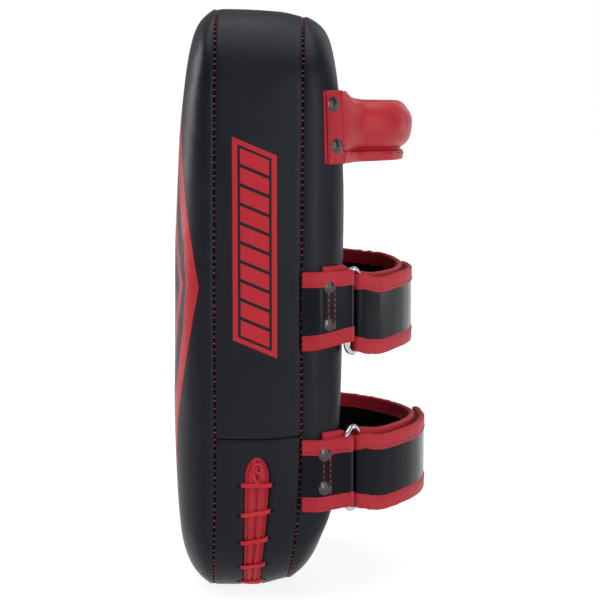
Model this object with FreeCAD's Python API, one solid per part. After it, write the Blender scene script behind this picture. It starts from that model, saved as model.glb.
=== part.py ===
"""Thai pad: a stuffed kick pad with a padded grip and two forearm straps.

Frame: +Z runs up the pad, the striking face looks to -Y and the straps stand at +Y.
The origin is the middle of the flat base. Lengths are in millimetres.
"""
import FreeCAD, Part
import math
import os

from FreeCAD import Placement, Rotation, Vector

UP = Vector(0, 0, 1)

# ---- pad body ----
PAD_HEIGHT = 400.0
PAD_WIDTH = 200.0
BAND_DEPTH = 58.0       # side band, from the front seam to the back seam
CROWN = 30.0            # each padded face stands this far proud of its seam
CORNER_R = 55.0         # corners of the outline
CROWN_R = 27.0          # rolled rim of each padded face
LEATHER = 2.0
FIT = 0.1               # between pieces that are stuffed or sewn together
PANEL_SEAM_Z = 113.0    # the plain upper band meets the laced base band here
FOAM_SPLIT_Y = 20.0     # the middle foam lies between these two planes

SEAM_Y = BAND_DEPTH / 2
FACE_Y = SEAM_Y + CROWN
RIM_Y = FACE_Y - CROWN_R
NEAR_RIM = Vector(PAD_WIDTH / 2 - CROWN_R, RIM_Y, 0)
FAR_RIM = Vector(CROWN_R - PAD_WIDTH / 2, RIM_Y, 0)

# ---- laced slot in the base band ----
SLOT_HALF = 7.5
SLOT_TOP_Z = 101.5
SLOT_Y = -1.0
TONGUE_INSET = 2.5
TONGUE_HALF = 8.3
LACE_WIDTH = 3.0
LACE_THICK = 2.0
LACE_PROUD = 0.9        # where a lace bar shows on the sides
LACE_SUNK = -0.2        # under the base, a bar lies just inside the leather
LACE_TOP_Z = 84.0
LACE_BARS = 16
LACE_HOLE_HALF = 10.0   # from the slot's middle to each row of holes
LACE_HOLE_R = 1.3
INNER_RUN_INSET = 5.0   # the hidden runs lie this far inside the pad's outline
POCKET_DEPTH = 7.5
POCKET_HALF = 13.0

# ---- grip ----
GRIP_Z = 321.8
GRIP_Y = 93.0
GRIP_HALF_HEIGHT = 16.6
GRIP_HALF_THICK = 12.0
GRIP_LEG_X = 58.0
GRIP_BEND_R = 22.0
GRIP_SKIN = 2.5
FLANGE_DROP = 8.0
FLANGE_THICK = 4.0
GRIP_TILT = 17.0        # relief at each leg's foot, just over the tilt it allows
GRIP_TAB_LOW = 297.2
GRIP_TAB_HIGH = 344.6
GRIP_TAB_THICK = 2.5
GRIP_TAB_EDGE = 24.0    # where the tab ends round the rim, in degrees
GRIP_HINGE_Y = FACE_Y + GRIP_TAB_THICK + 0.1
GRIP_RIVETS = ((308.4, 44.0), (335.8, 37.0))    # height, and place round the rim in degrees
BACKING_THICK = 1.6

# ---- straps: one leather strap each, folded back on itself through a ring ----
# rivets: the pair's middle height, half its spacing, and its place round the rim in degrees
STRAPS = {
    "upper": {"tab_z": 199.2, "ring_z": 198.0, "loop_z": 194.0, "reach": 108.1,
              "rivets": (203.6, 12.6, 30.5)},
    "lower": {"tab_z": 89.2, "ring_z": 90.5, "loop_z": 85.0, "reach": 118.2,
              "rivets": (92.1, 11.5, 24.0)},
}
STRAP_WIDTH = 51.0
STRAP_THICK = 2.7
TAB_WIDTH = 50.0
BINDING_WIDTH = 9.5
BINDING_THICK = 0.6
RING_WIRE_R = 2.0
RING_SPAN = 16.0        # between the middles of the ring's two long bars
RING_STRAIGHT = 40.0
RING_TILT = 57.0        # where the ring's inner bar sits round the rim, in degrees
FOLD_WIDTH = 39.0       # strap and tab are gathered this narrow inside the ring
FOLD_CLEAR = 0.3
PATCH_WIDTH = 30.0
PATCH_THICK = 2.0
FLAP_END_X = -32.0
TAB_SEAM_ANGLE = 2.0
TAB_LIFT_ANGLE = 25.0   # the tab's outer layer leaves the rim here
FAR_SEAM_ANGLE = 178.0
FAR_RIVET_ANGLE = 25.0
FAR_RIVET_HALF = 11.7
RIVET_HEAD_R = 5.0
RIVET_HEAD_H = 1.4
RIVET_SHANK_R = 1.6
RIVET_BURR_R = 3.6
RIVET_BURR_H = 0.9

LAYER_GAP = RING_WIRE_R + FOLD_CLEAR
LAYER_OFFSET = LAYER_GAP + STRAP_THICK / 2
SKIN_R = CROWN_R + FIT / 2


# ---------------------------------------------------------------- plain shapes
def polar(centre, radius, angle):
    """Point at an angle in degrees round a centre, in plan."""
    turn = math.radians(angle)
    return centre + Vector(radius * math.cos(turn), radius * math.sin(turn), 0)


def raise_outline(edges, z_low, z_high):
    """Solid between two heights over the closed plan outline made of edges."""
    face = Part.Face(Part.Wire(Part.sortEdges(edges)[0]))
    face.translate(UP * z_low)
    return face.extrude(UP * (z_high - z_low))


def raise_polygon(points, z_low, z_high):
    """Solid between two heights over a plan outline with straight sides."""
    ends = points[1:] + points[:1]
    return raise_outline([Part.makeLine(a, b) for a, b in zip(points, ends)], z_low, z_high)


def sector(centre, r_in, r_out, start, end, z_low, z_high):
    """Curved strip about an upright axis, from one angle to another."""
    middle = (start + end) / 2
    arcs = [Part.Arc(*(polar(centre, radius, angle) for angle in (start, middle, end)))
            for radius in (r_in, r_out)]
    ends = [Part.makeLine(polar(centre, r_in, angle), polar(centre, r_out, angle))
            for angle in (start, end)]
    return raise_outline([arc.toShape() for arc in arcs] + ends, z_low, z_high)


def post(centre, radius, z_low, z_high):
    """Upright round bar."""
    return Part.makeCylinder(radius, z_high - z_low, centre + UP * z_low)


def slice_y(y_low, y_high, z_low, z_high):
    """Block that keeps everything across the pad between two Y planes and two heights."""
    reach = PAD_WIDTH
    return Part.makeBox(2 * reach, y_high - y_low, z_high - z_low, Vector(-reach, y_low, z_low))


def mirrored(shape):
    """The same shape on the far side of the pad."""
    return shape.mirror(Vector(0, 0, 0), Vector(1, 0, 0))


def fused(shapes):
    """One solid out of several that touch."""
    first = shapes[0]
    return first.fuse(shapes[1:]).removeSplitter() if len(shapes) > 1 else first


# ---------------------------------------------------------------- pad body
def slab(inset, y_low, y_high):
    """Block with the pad's rounded outline, moved in by inset, between two Y planes."""
    half = PAD_WIDTH / 2 - inset
    corner = Vector(-half, y_low, inset)
    block = Part.makeBox(2 * half, y_high - y_low, PAD_HEIGHT - 2 * inset, corner)
    corners = [edge for edge in block.Edges
               if abs(edge.Vertexes[0].Y - edge.Vertexes[1].Y) > FIT]
    return block.makeFillet(CORNER_R - inset, corners)


def padded_block(inset, side, inner_y):
    """Block with a rolled rim on its outer face; side is -1 in front and +1 behind."""
    crown_y = side * (FACE_Y - inset)
    block = slab(inset, min(inner_y, crown_y), max(inner_y, crown_y))
    rim = [edge for edge in block.Edges
           if all(abs(vertex.Y - crown_y) < FIT / 10 for vertex in edge.Vertexes)]
    return block.makeFillet(CROWN_R - inset, rim)


def face_panel(side):
    """Leather shell of the striking face or of the back."""
    outside = padded_block(0, side, side * SEAM_Y)
    return outside.cut(padded_block(LEATHER, side, side * SEAM_Y))


def band(outer_inset, inner_inset, y_low, y_high):
    """Strip of leather that follows the outline all the way round."""
    return slab(outer_inset, y_low, y_high).cut(slab(inner_inset, y_low, y_high))


def slot_tool(half, y_low, y_high):
    """Space of the laced slot, an arch on each side that runs on under the base."""
    arch_z = SLOT_TOP_Z - half
    middle = Vector(-PAD_WIDTH, SLOT_Y, arch_z)
    straight = slice_y(SLOT_Y - half, SLOT_Y + half, -PAD_WIDTH, arch_z)
    arch = Part.makeCylinder(half, 2 * PAD_WIDTH, middle, Vector(1, 0, 0))
    return straight.fuse(arch).common(slice_y(y_low, y_high, -PAD_WIDTH, PAD_HEIGHT))


def slot_binding():
    """Two edge bindings that meet along the middle of the slot."""
    strip = band(0, LEATHER, -SEAM_Y, SEAM_Y)
    front = slot_tool(SLOT_HALF - FIT, -SEAM_Y, SLOT_Y - FIT)
    back = slot_tool(SLOT_HALF - FIT, SLOT_Y + FIT, SEAM_Y)
    return strip.common(front), strip.common(back)


def slot_tongue():
    """Leather strip behind the slot, which closes it from inside."""
    strip = band(TONGUE_INSET, TONGUE_INSET + 1, SLOT_Y - TONGUE_HALF, SLOT_Y + TONGUE_HALF)
    return strip.common(slice_y(-SEAM_Y, SEAM_Y, 0, SLOT_TOP_Z + LACE_WIDTH))


def outline_place(run, inset):
    """Placement on the band at a length run down it, local X outwards and local Z back up.

    The run starts at LACE_TOP_Z on the near side, goes round under the base and up the far side.
    """
    side_run = LACE_TOP_Z - CORNER_R
    corner_run = math.pi / 2 * CORNER_R
    half_base = PAD_WIDTH / 2 - CORNER_R
    half_run = side_run + corner_run + half_base
    near_run = min(run, 2 * half_run - run)
    turn = math.degrees(min(max(near_run - side_run, 0), corner_run) / CORNER_R)
    slope = math.radians(turn)
    radius = CORNER_R - inset
    x = half_base + radius * math.cos(slope)
    z = CORNER_R - radius * math.sin(slope)
    if near_run < side_run:
        z = LACE_TOP_Z - near_run
    if near_run > side_run + corner_run:
        x = half_run - near_run
    if run > half_run:
        x = -x
        turn = 180 - turn
    return Placement(Vector(x, SLOT_Y, z), Rotation(Vector(0, 1, 0), turn))


def lace():
    """Flat leather lace: bars across the slot, joined by slanted runs inside the pad."""
    half_run = LACE_TOP_Z - CORNER_R + math.pi / 2 * CORNER_R + PAD_WIDTH / 2 - CORNER_R
    pitch = 2 * half_run / (LACE_BARS - 1)
    pieces = []
    for index in range(LACE_BARS):
        run = index * pitch
        surface = outline_place(run, 0)
        outwards = surface.Rotation.multVec(Vector(1, 0, 0))
        proud = LACE_SUNK if outwards.z < -0.9 else LACE_PROUD
        length = 2 * LACE_HOLE_HALF + LACE_WIDTH
        bar = Part.makeBox(LACE_THICK, length, LACE_WIDTH,
                           Vector(proud - LACE_THICK, -length / 2, -LACE_WIDTH / 2))
        bar.Placement = surface
        pieces.append(bar)
        for hole_y in (-LACE_HOLE_HALF, LACE_HOLE_HALF):
            start = Vector(-INNER_RUN_INSET - 1, hole_y, 0)
            stub = Part.makeCylinder(LACE_HOLE_R, INNER_RUN_INSET + 0.5, start, Vector(1, 0, 0))
            stub.Placement = surface
            pieces.append(stub)
    for index in range(LACE_BARS - 1):
        pieces.append(inner_run((index + 0.5) * pitch, pitch))
    return fused(pieces)


def inner_run(run, pitch):
    """Hidden run of the lace from one hole to the next bar's hole on the other side."""
    across = 2 * LACE_HOLE_HALF
    length = math.hypot(pitch, across)
    slant = math.degrees(math.atan2(pitch, across))
    bar = Part.makeBox(LACE_THICK, length + LACE_WIDTH, LACE_WIDTH,
                       Vector(-LACE_THICK / 2, -(length + LACE_WIDTH) / 2, -LACE_WIDTH / 2))
    middle = outline_place(run, INNER_RUN_INSET)
    bar.Placement = middle.multiply(Placement(Vector(), Rotation(Vector(1, 0, 0), slant)))
    return bar


def pad_body():
    """Panels, bands, foam layers and the lacing."""
    lacing = lace()
    slot = slot_tool(SLOT_HALF, -SEAM_Y, SEAM_Y)
    leather_band = band(0, LEATHER, -SEAM_Y, SEAM_Y)
    base = leather_band.common(slice_y(-SEAM_Y, SEAM_Y, -1, PANEL_SEAM_Z)).cut([slot, lacing])
    upper = leather_band.common(slice_y(-SEAM_Y, SEAM_Y, PANEL_SEAM_Z, PAD_HEIGHT + 1))
    front_strip, back_strip = slot_binding()
    foam_inset = LEATHER + FIT
    strike = padded_block(foam_inset, -1, -FOAM_SPLIT_Y)
    rear = padded_block(foam_inset, 1, FOAM_SPLIT_Y)
    middle = slab(foam_inset, -FOAM_SPLIT_Y, FOAM_SPLIT_Y)
    pocket = band(0, POCKET_DEPTH, SLOT_Y - POCKET_HALF, SLOT_Y + POCKET_HALF)
    pocket = pocket.common(slice_y(-SEAM_Y, SEAM_Y, 0, SLOT_TOP_Z + 2 * LACE_WIDTH))
    return {
        "front_panel": face_panel(-1),
        "back_panel": face_panel(1),
        "side_gusset": upper,
        "base_gusset": base,
        "foam_strike_layer": strike,
        "foam_middle_layer": middle.cut(pocket),
        "foam_back_layer": rear,
        "slot_binding": Part.makeCompound([front_strip.cut(lacing), back_strip.cut(lacing)]),
        "slot_tongue": slot_tongue().cut(lacing),
        "lace": lacing,
    }


# ---------------------------------------------------------------- rivets
def rivet(rim, angle, z, surface_r, grip_length):
    """Domed rivet that stands square on the rim of the back, with its burr inside."""
    foot = -grip_length - RIVET_BURR_H
    outline = [(0, foot), (RIVET_BURR_R, foot), (RIVET_BURR_R, -grip_length),
               (RIVET_SHANK_R, -grip_length), (RIVET_SHANK_R, 0), (RIVET_HEAD_R, 0)]
    points = [Vector(radius, 0, height) for radius, height in outline]
    top = Vector(0, 0, RIVET_HEAD_H)
    dome_r = (RIVET_HEAD_R ** 2 + RIVET_HEAD_H ** 2) / (2 * RIVET_HEAD_H)
    half_r = RIVET_HEAD_R / 2
    shoulder = Vector(half_r, 0, RIVET_HEAD_H - dome_r + math.sqrt(dome_r ** 2 - half_r ** 2))
    dome = Part.Arc(points[-1], shoulder, top).toShape()
    lines = [Part.makeLine(a, b) for a, b in zip(points, points[1:])]
    section = Part.Face(Part.Wire(lines + [dome, Part.makeLine(top, points[0])]))
    body = section.revolve(Vector(), UP, 360)
    seat = polar(rim, surface_r, angle) + UP * z
    body.Placement = Placement(seat, Rotation(UP, polar(Vector(), 1, angle)))
    return body


def head_room(rim, angle, z, surface_r):
    """Room round a rivet's head in a binding that it stands beside."""
    outwards = polar(Vector(), 1, angle)
    low = polar(rim, surface_r - RIVET_HEAD_R, angle) + UP * z
    return Part.makeCylinder(RIVET_HEAD_R + FOLD_CLEAR, 2 * RIVET_HEAD_R, low, outwards)


def holes_for(rivets):
    """Room for a group of rivets in what they pass through."""
    return list(rivets.Solids)


# ---------------------------------------------------------------- grip
def grip_section(half_height, half_thick, z):
    """Oval section of the roll, in the plane where the straight grip meets its bend."""
    oval = Part.Face(Part.Wire(Part.Ellipse(Vector(), half_height, half_thick).toShape()))
    start_x = GRIP_LEG_X - GRIP_BEND_R
    oval.Placement = Placement(Vector(start_x, GRIP_Y, z), Rotation(Vector(0, 1, 0), -90))
    return oval


def flange_section():
    """Flat section of the sewn flange under the roll."""
    start_x = GRIP_LEG_X - GRIP_BEND_R
    low = GRIP_Z - GRIP_HALF_HEIGHT - FLANGE_DROP
    half = FLANGE_THICK / 2
    corners = [(-half, low), (half, low), (half, GRIP_Z - GRIP_HALF_HEIGHT + 2),
               (-half, GRIP_Z - GRIP_HALF_HEIGHT + 2)]
    points = [Vector(start_x, GRIP_Y + y, z) for y, z in corners]
    return Part.Face(Part.makePolygon(points + points[:1]))


def along_grip(section, foot_y):
    """Sweep a section along the straight grip, both bends and both legs down to foot_y."""
    start_x = GRIP_LEG_X - GRIP_BEND_R
    bend_y = GRIP_Y - GRIP_BEND_R
    pivot = Vector(start_x, bend_y, 0)
    straight = section.extrude(Vector(-2 * start_x, 0, 0))
    bend = section.revolve(pivot, UP, -90)
    leg_end = section.copy()
    leg_end.rotate(pivot, UP, -90)
    leg = leg_end.extrude(Vector(0, foot_y - bend_y, 0))
    return fused([straight, bend, leg, mirrored(bend), mirrored(leg)])


def foot_relief(clear):
    """Room above and below the hinge line, so that the grip can tilt against its tabs."""
    size = 3 * GRIP_HALF_HEIGHT
    cutters = []
    for tilt in (GRIP_TILT, -GRIP_TILT):
        block = Part.makeBox(PAD_WIDTH, size, 2 * size, Vector(-PAD_WIDTH / 2, clear - size, -size))
        turn = Rotation(Vector(1, 0, 0), tilt)
        block.Placement = Placement(Vector(0, GRIP_HINGE_Y, GRIP_Z), turn)
        cutters.append(block)
    return cutters


def grip_tab():
    """Leather tab under one leg: flat under the grip, then bent round the near rim."""
    leg_inner_x = GRIP_LEG_X - GRIP_HALF_THICK
    flat = Part.makeBox(NEAR_RIM.x - leg_inner_x, GRIP_TAB_THICK, GRIP_TAB_HIGH - GRIP_TAB_LOW,
                        Vector(leg_inner_x, RIM_Y + SKIN_R, GRIP_TAB_LOW))
    bent = sector(NEAR_RIM, SKIN_R, SKIN_R + GRIP_TAB_THICK, GRIP_TAB_EDGE, 90,
                  GRIP_TAB_LOW, GRIP_TAB_HIGH)
    return fused([flat, bent])


def grip_backing():
    """Leather patch inside the back panel, under one tab."""
    outer_r = CROWN_R - LEATHER - FIT / 2
    return sector(NEAR_RIM, outer_r - BACKING_THICK, outer_r, GRIP_TAB_EDGE, 88,
                  GRIP_TAB_LOW, GRIP_TAB_HIGH)


def grip():
    """Padded grip, its tabs and what fastens them."""
    outer = along_grip(grip_section(GRIP_HALF_HEIGHT, GRIP_HALF_THICK, GRIP_Z), GRIP_HINGE_Y)
    flange = along_grip(flange_section(), GRIP_HINGE_Y)
    inner_foot = GRIP_HINGE_Y + 3 * GRIP_SKIN
    core = along_grip(grip_section(GRIP_HALF_HEIGHT - GRIP_SKIN, GRIP_HALF_THICK - GRIP_SKIN,
                                   GRIP_Z), inner_foot)
    core = core.cut(foot_relief(inner_foot - GRIP_HINGE_Y))
    cover = fused([outer, flange]).cut(foot_relief(FOLD_CLEAR)).cut(core)
    near_rivets = [rivet(NEAR_RIM, angle, z, SKIN_R + GRIP_TAB_THICK,
                         GRIP_TAB_THICK + LEATHER + BACKING_THICK + 2 * FIT)
                   for z, angle in GRIP_RIVETS]
    rivets = Part.makeCompound(near_rivets + [mirrored(shape) for shape in near_rivets])
    tab = grip_tab().cut(holes_for(rivets))
    backing = grip_backing().cut(holes_for(rivets))
    return {
        "handle_core": core,
        "handle_cover": cover,
        "handle_tab_near": tab,
        "handle_tab_far": mirrored(tab),
        "handle_backing": Part.makeCompound([backing, mirrored(backing)]),
        "handle_rivets": rivets,
    }


# ---------------------------------------------------------------- straps
INNER_BAR = polar(NEAR_RIM, SKIN_R + STRAP_THICK + LAYER_GAP, RING_TILT)
OUTER_BAR = polar(INNER_BAR, RING_SPAN, RING_TILT + 90)


def loop_arc(reach):
    """Centre, radius and landing angle of a strap's arch.

    The arch passes over the ring's outer bar, stands out to reach and runs on smoothly
    into the far rim of the back.
    """
    apex_y = reach - STRAP_THICK / 2 - 2 * LAYER_OFFSET
    lay_r = SKIN_R + STRAP_THICK / 2
    low, high = 125.0, 170.0
    while high - low > 1e-9:
        landing = (low + high) / 2
        rise = math.sin(math.radians(landing))
        radius = (apex_y - RIM_Y - lay_r * rise) / (1 - rise)
        centre = polar(FAR_RIM, lay_r - radius, landing)
        if OUTER_BAR.distanceToPoint(centre) < radius + LAYER_OFFSET:
            low = landing
        else:
            high = landing
    return centre, radius, landing


def angle_from(centre, point):
    """Direction of a point from a centre, in degrees."""
    return math.degrees(math.atan2(point.y - centre.y, point.x - centre.x))


def ring(z):
    """Wire ring with two straight bars and half-round ends, in line with both bars."""
    half = RING_STRAIGHT / 2
    bend_r = RING_SPAN / 2
    wire = Part.Face(Part.Wire(Part.makeCircle(RING_WIRE_R, Vector(bend_r, 0, half), UP)))
    bar = post(Vector(bend_r, 0, 0), RING_WIRE_R, -half, half)
    top = wire.revolve(UP * half, Vector(0, 1, 0), -180)
    parts = [bar, mirrored(bar), top, top.mirror(Vector(), UP)]
    body = fused(parts)
    middle = (INNER_BAR + OUTER_BAR) * 0.5 + UP * z
    body.Placement = Placement(middle, Rotation(UP, angle_from(INNER_BAR, OUTER_BAR)))
    return body


def tab_profile(grow, z_low, z_high):
    """Strap tab: on the rim from the seam, then straight to its fold round the inner bar."""
    lift_r = SKIN_R + LAYER_GAP + STRAP_THICK
    fold_r = LAYER_GAP + STRAP_THICK - FOLD_CLEAR
    on_rim = sector(NEAR_RIM, SKIN_R, lift_r + grow, TAB_SEAM_ANGLE, TAB_LIFT_ANGLE, z_low, z_high)
    wedge = raise_polygon([polar(NEAR_RIM, SKIN_R - 2, TAB_LIFT_ANGLE),
                           polar(NEAR_RIM, lift_r + grow, TAB_LIFT_ANGLE),
                           polar(INNER_BAR, fold_r + grow, TAB_LIFT_ANGLE),
                           INNER_BAR,
                           polar(NEAR_RIM, SKIN_R, RING_TILT)], z_low, z_high)
    fold = post(INNER_BAR, fold_r + grow, z_low, z_high)
    return fused([on_rim, wedge, fold]).cut(post(NEAR_RIM, SKIN_R, z_low, z_high))


def ring_room(z_low, z_high):
    """Space that the ring's round ends need beyond the fold, over a range of heights."""
    along = (OUTER_BAR - INNER_BAR).normalize()
    across = Vector(-along.y, along.x, 0)
    start = INNER_BAR - along * (RING_WIRE_R + 1)
    reach = RING_SPAN * 2
    return raise_polygon([start - across * reach, start + across * reach,
                          start + across * reach + along * reach,
                          start - across * reach + along * reach], z_low, z_high)


def edging(shape_at, z_low, z_high):
    """Two bindings, folded over the lower and upper edges of a strip.

    shape_at(grow, low, high) makes the strip, thicker by grow on each side.
    """
    strip = shape_at(0, z_low, z_high)
    lower = shape_at(BINDING_THICK, z_low - BINDING_THICK, z_low + BINDING_WIDTH)
    upper = shape_at(BINDING_THICK, z_high - BINDING_WIDTH, z_high + BINDING_THICK)
    return Part.makeCompound([lower.cut(strip), upper.cut(strip)])


def strap_tab(spec):
    """Near tab, its bindings and its two rivets."""
    low = spec["tab_z"] - TAB_WIDTH / 2
    high = spec["tab_z"] + TAB_WIDTH / 2
    fold_low = spec["ring_z"] - FOLD_WIDTH / 2
    fold_high = spec["ring_z"] + FOLD_WIDTH / 2
    margin = 2 * BINDING_THICK
    room = [ring_room(low - margin, fold_low), ring_room(fold_high, high + margin),
            post(INNER_BAR, LAYER_GAP, low - margin, high + margin)]
    surface_r = SKIN_R + LAYER_GAP + STRAP_THICK
    rivet_z, half, angle = spec["rivets"]
    rivets = rivet_pair(NEAR_RIM, angle, rivet_z, half, surface_r)
    heads = [head_room(NEAR_RIM, angle, rivet_z + step, surface_r) for step in (-half, half)]
    tab = tab_profile(0, low, high).cut(room).cut(holes_for(rivets))
    binding = edging(tab_profile, low, high).cut(room + heads)
    return tab, binding, rivets


def rivet_pair(rim, angle, z, half, surface_r):
    """Two rivets, one above the other, through a strap and the back panel."""
    grip_length = surface_r - CROWN_R + LEATHER + FIT
    return Part.makeCompound([rivet(rim, angle, z + step, surface_r, grip_length)
                              for step in (-half, half)])


def strap_set(spec):
    """All the pieces of one strap."""
    centre, radius, landing = loop_arc(spec["reach"])
    low = spec["loop_z"] - STRAP_WIDTH / 2
    high = spec["loop_z"] + STRAP_WIDTH / 2
    bar_angle = angle_from(centre, OUTER_BAR)
    middle_r = radius + LAYER_OFFSET
    base_start = bar_angle + math.degrees(3.0 / radius)
    binding_start = bar_angle + math.degrees(8.0 / radius)
    flap_start = bar_angle + math.degrees(1.7 / radius)
    flap_end = math.degrees(math.acos((FLAP_END_X - centre.x) / middle_r))
    half = STRAP_THICK / 2

    def arch(grow, z_low, z_high):
        return sector(centre, radius - half - grow, radius + half + grow,
                      base_start, landing, z_low, z_high)

    def edged_arch(grow, z_low, z_high):
        return sector(centre, radius - half - grow, radius + half + grow,
                      binding_start, landing - 8, z_low, z_high)

    def edged_flap(grow, z_low, z_high):
        return sector(centre, middle_r + LAYER_GAP - grow, middle_r + LAYER_GAP + STRAP_THICK + grow,
                      binding_start, flap_end, z_low, z_high)

    on_rim = sector(FAR_RIM, SKIN_R, SKIN_R + STRAP_THICK, landing, FAR_SEAM_ANGLE, low, high)
    far_rivets = rivet_pair(FAR_RIM, 180 - FAR_RIVET_ANGLE, spec["loop_z"], FAR_RIVET_HALF,
                            SKIN_R + STRAP_THICK)
    strap = fused([arch(0, low, high), on_rim]).cut(holes_for(far_rivets))
    flap = sector(centre, middle_r + LAYER_GAP, middle_r + LAYER_GAP + STRAP_THICK,
                  flap_start, flap_end, low, high)
    fold = sector(OUTER_BAR, LAYER_GAP, LAYER_GAP + STRAP_THICK, bar_angle - 180, bar_angle - 30,
                  spec["ring_z"] - FOLD_WIDTH / 2, spec["ring_z"] + FOLD_WIDTH / 2)
    patch_low = spec["loop_z"] - PATCH_WIDTH / 2
    patch_high = spec["loop_z"] + PATCH_WIDTH / 2
    loop_patch = sector(centre, radius + half, radius + half + PATCH_THICK,
                        bar_angle + 15, flap_end + 5, patch_low, patch_high)
    hook_out = middle_r + LAYER_GAP
    hook_patch = sector(centre, hook_out - PATCH_THICK, hook_out, bar_angle + 30, flap_end - 2,
                        patch_low, patch_high)
    tab, tab_binding, tab_rivets = strap_tab(spec)
    return {
        "tab": tab,
        "tab_binding": tab_binding,
        "tab_rivets": tab_rivets,
        "ring": ring(spec["ring_z"]),
        "strap": strap,
        "strap_binding": edging(edged_arch, low, high),
        "strap_fold": fold,
        "flap": flap,
        "flap_binding": edging(edged_flap, low, high),
        "loop_patch": loop_patch,
        "hook_patch": hook_patch,
        "far_rivets": far_rivets,
    }


# ---------------------------------------------------------------- assembly
def build():
    """Every node, with the rivets' holes made in what they pass through."""
    nodes = pad_body()
    nodes.update(grip())
    for name, spec in STRAPS.items():
        for piece, shape in strap_set(spec).items():
            nodes[name + "_" + piece] = shape
    rivets = []
    for name, shape in nodes.items():
        if name.endswith("rivets"):
            rivets += holes_for(shape)
    for name in ("back_panel", "foam_back_layer"):
        nodes[name] = nodes[name].cut(rivets)
    nodes["foam_back_layer"] = nodes["foam_back_layer"].cut(nodes["handle_backing"])
    return nodes


os.makedirs("parts", exist_ok=True)
for node, solid in build().items():
    solid.exportStep("parts/" + node + ".step")
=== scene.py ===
"""Looks of a Thai pad: leather panels, seams, lacing, grip, straps, camera and light."""

import math
import random

import bpy
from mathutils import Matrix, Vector, noise


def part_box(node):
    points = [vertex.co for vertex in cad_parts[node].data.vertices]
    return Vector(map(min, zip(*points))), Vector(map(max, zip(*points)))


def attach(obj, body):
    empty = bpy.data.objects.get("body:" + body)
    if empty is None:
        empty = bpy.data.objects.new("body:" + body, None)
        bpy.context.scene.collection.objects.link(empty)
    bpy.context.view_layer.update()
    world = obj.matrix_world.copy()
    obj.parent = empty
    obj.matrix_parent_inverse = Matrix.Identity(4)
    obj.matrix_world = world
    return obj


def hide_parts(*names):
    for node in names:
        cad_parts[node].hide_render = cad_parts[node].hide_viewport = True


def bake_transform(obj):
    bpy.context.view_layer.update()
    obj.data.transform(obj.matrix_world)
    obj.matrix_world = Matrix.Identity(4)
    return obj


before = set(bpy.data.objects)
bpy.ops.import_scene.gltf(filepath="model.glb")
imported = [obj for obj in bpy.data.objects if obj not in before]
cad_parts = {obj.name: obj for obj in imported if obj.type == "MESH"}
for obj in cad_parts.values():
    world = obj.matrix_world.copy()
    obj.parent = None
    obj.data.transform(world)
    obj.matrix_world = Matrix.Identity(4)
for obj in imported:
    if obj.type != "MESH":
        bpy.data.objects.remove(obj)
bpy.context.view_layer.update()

MM = 0.001
UP = Vector((0, 0, 1))

# ---- places taken from the frame ----
FRONT_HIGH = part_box("front_panel")[1]
BACK_LOW, BACK_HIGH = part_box("back_panel")
HALF_WIDTH = FRONT_HIGH.x
HEIGHT = FRONT_HIGH.z
FRONT_SEAM_Y = FRONT_HIGH.y
BACK_SEAM_Y = BACK_LOW.y
CROWN = BACK_HIGH.y - BACK_LOW.y
PANEL_SEAM_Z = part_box("base_gusset")[1].z
SLOT_TOP_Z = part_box("slot_binding")[1].z

# ---- outline of the pad ----
CORNER_R = 55 * MM
HALF_BASE = HALF_WIDTH - CORNER_R
CORNER_RUN = math.pi / 2 * CORNER_R
SIDE_RUN = HEIGHT - 2 * CORNER_R
OUTLINE_RUN = 4 * (HALF_BASE + CORNER_RUN) + 2 * SIDE_RUN
SIDE_ROUND = 27 * MM     # quarter round of both faces, down the sides
FOOT_HEIGHT = 110 * MM
FOOT_LEAN = 5.8 * MM     # the foot is pulled forward by its own stuffing
STITCH_PITCH = 4.3 * MM
THREAD_R = 0.5 * MM
SLOT_ROUND = 15 * MM     # how far the slot's round ends reach in from its tips
LACE_RUNS = [run * MM for run in (11, 34, 57, 78.6, 99.7, 119.9, 139.1, 158.4)]
LACE_PRESS = 2.2 * MM    # how far from a bar of the lace the bindings are pressed down
STRAP_THICK = 2.7 * MM
BINDING_WIDTH = 9.5 * MM


# ------------------------------------------------------------------ meshes
def new_piece(name, verts, faces, material):
    """Mesh object from points and faces."""
    mesh = bpy.data.meshes.new(name)
    mesh.from_pydata([tuple(v) for v in verts], [], faces)
    mesh.validate()
    mesh.update()
    mesh.polygons.foreach_set("use_smooth", [True] * len(mesh.polygons))
    mesh.materials.append(material)
    piece = bpy.data.objects.new(name, mesh)
    bpy.context.scene.collection.objects.link(piece)
    return piece


def grid_faces(rows, columns, closed=False):
    """Quads between rows and columns of points, stored row by row; closed rows are rings."""
    faces = []
    for start in range(0, (rows - 1) * columns, columns):
        for c in range(columns if closed else columns - 1):
            c2 = (c + 1) % columns
            faces.append((start + c, start + c2, start + columns + c2, start + columns + c))
    return faces


def tube_faces(rows, columns):
    """Closed rows with a face over both ends."""
    last = (rows - 1) * columns
    ends = [tuple(reversed(range(columns))), tuple(range(last, last + columns))]
    return grid_faces(rows, columns, closed=True) + ends


def smoothed(piece):
    """Apply one subdivision to a piece, for good, so that every later step sees its final mesh."""
    modifier = piece.modifiers.new("subdivision", "SUBSURF")
    modifier.levels = 1
    modifier.render_levels = 1
    depsgraph = bpy.context.evaluated_depsgraph_get()
    mesh = bpy.data.meshes.new_from_object(piece.evaluated_get(depsgraph))
    piece.modifiers.clear()
    old = piece.data
    piece.data = mesh
    bpy.data.meshes.remove(old)
    return piece


def swept(name, stations, section, material):
    """Sweep a closed section along stations, with both ends closed.

    A station is (origin, across, up, across_scale, up_scale), a section is a list of (a, b).
    """
    verts = []
    for origin, across, up, scale_a, scale_b in stations:
        verts += [origin + across * (a * scale_a) + up * (b * scale_b) for a, b in section]
    return new_piece(name, verts, tube_faces(len(stations), len(section)), material)


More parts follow.
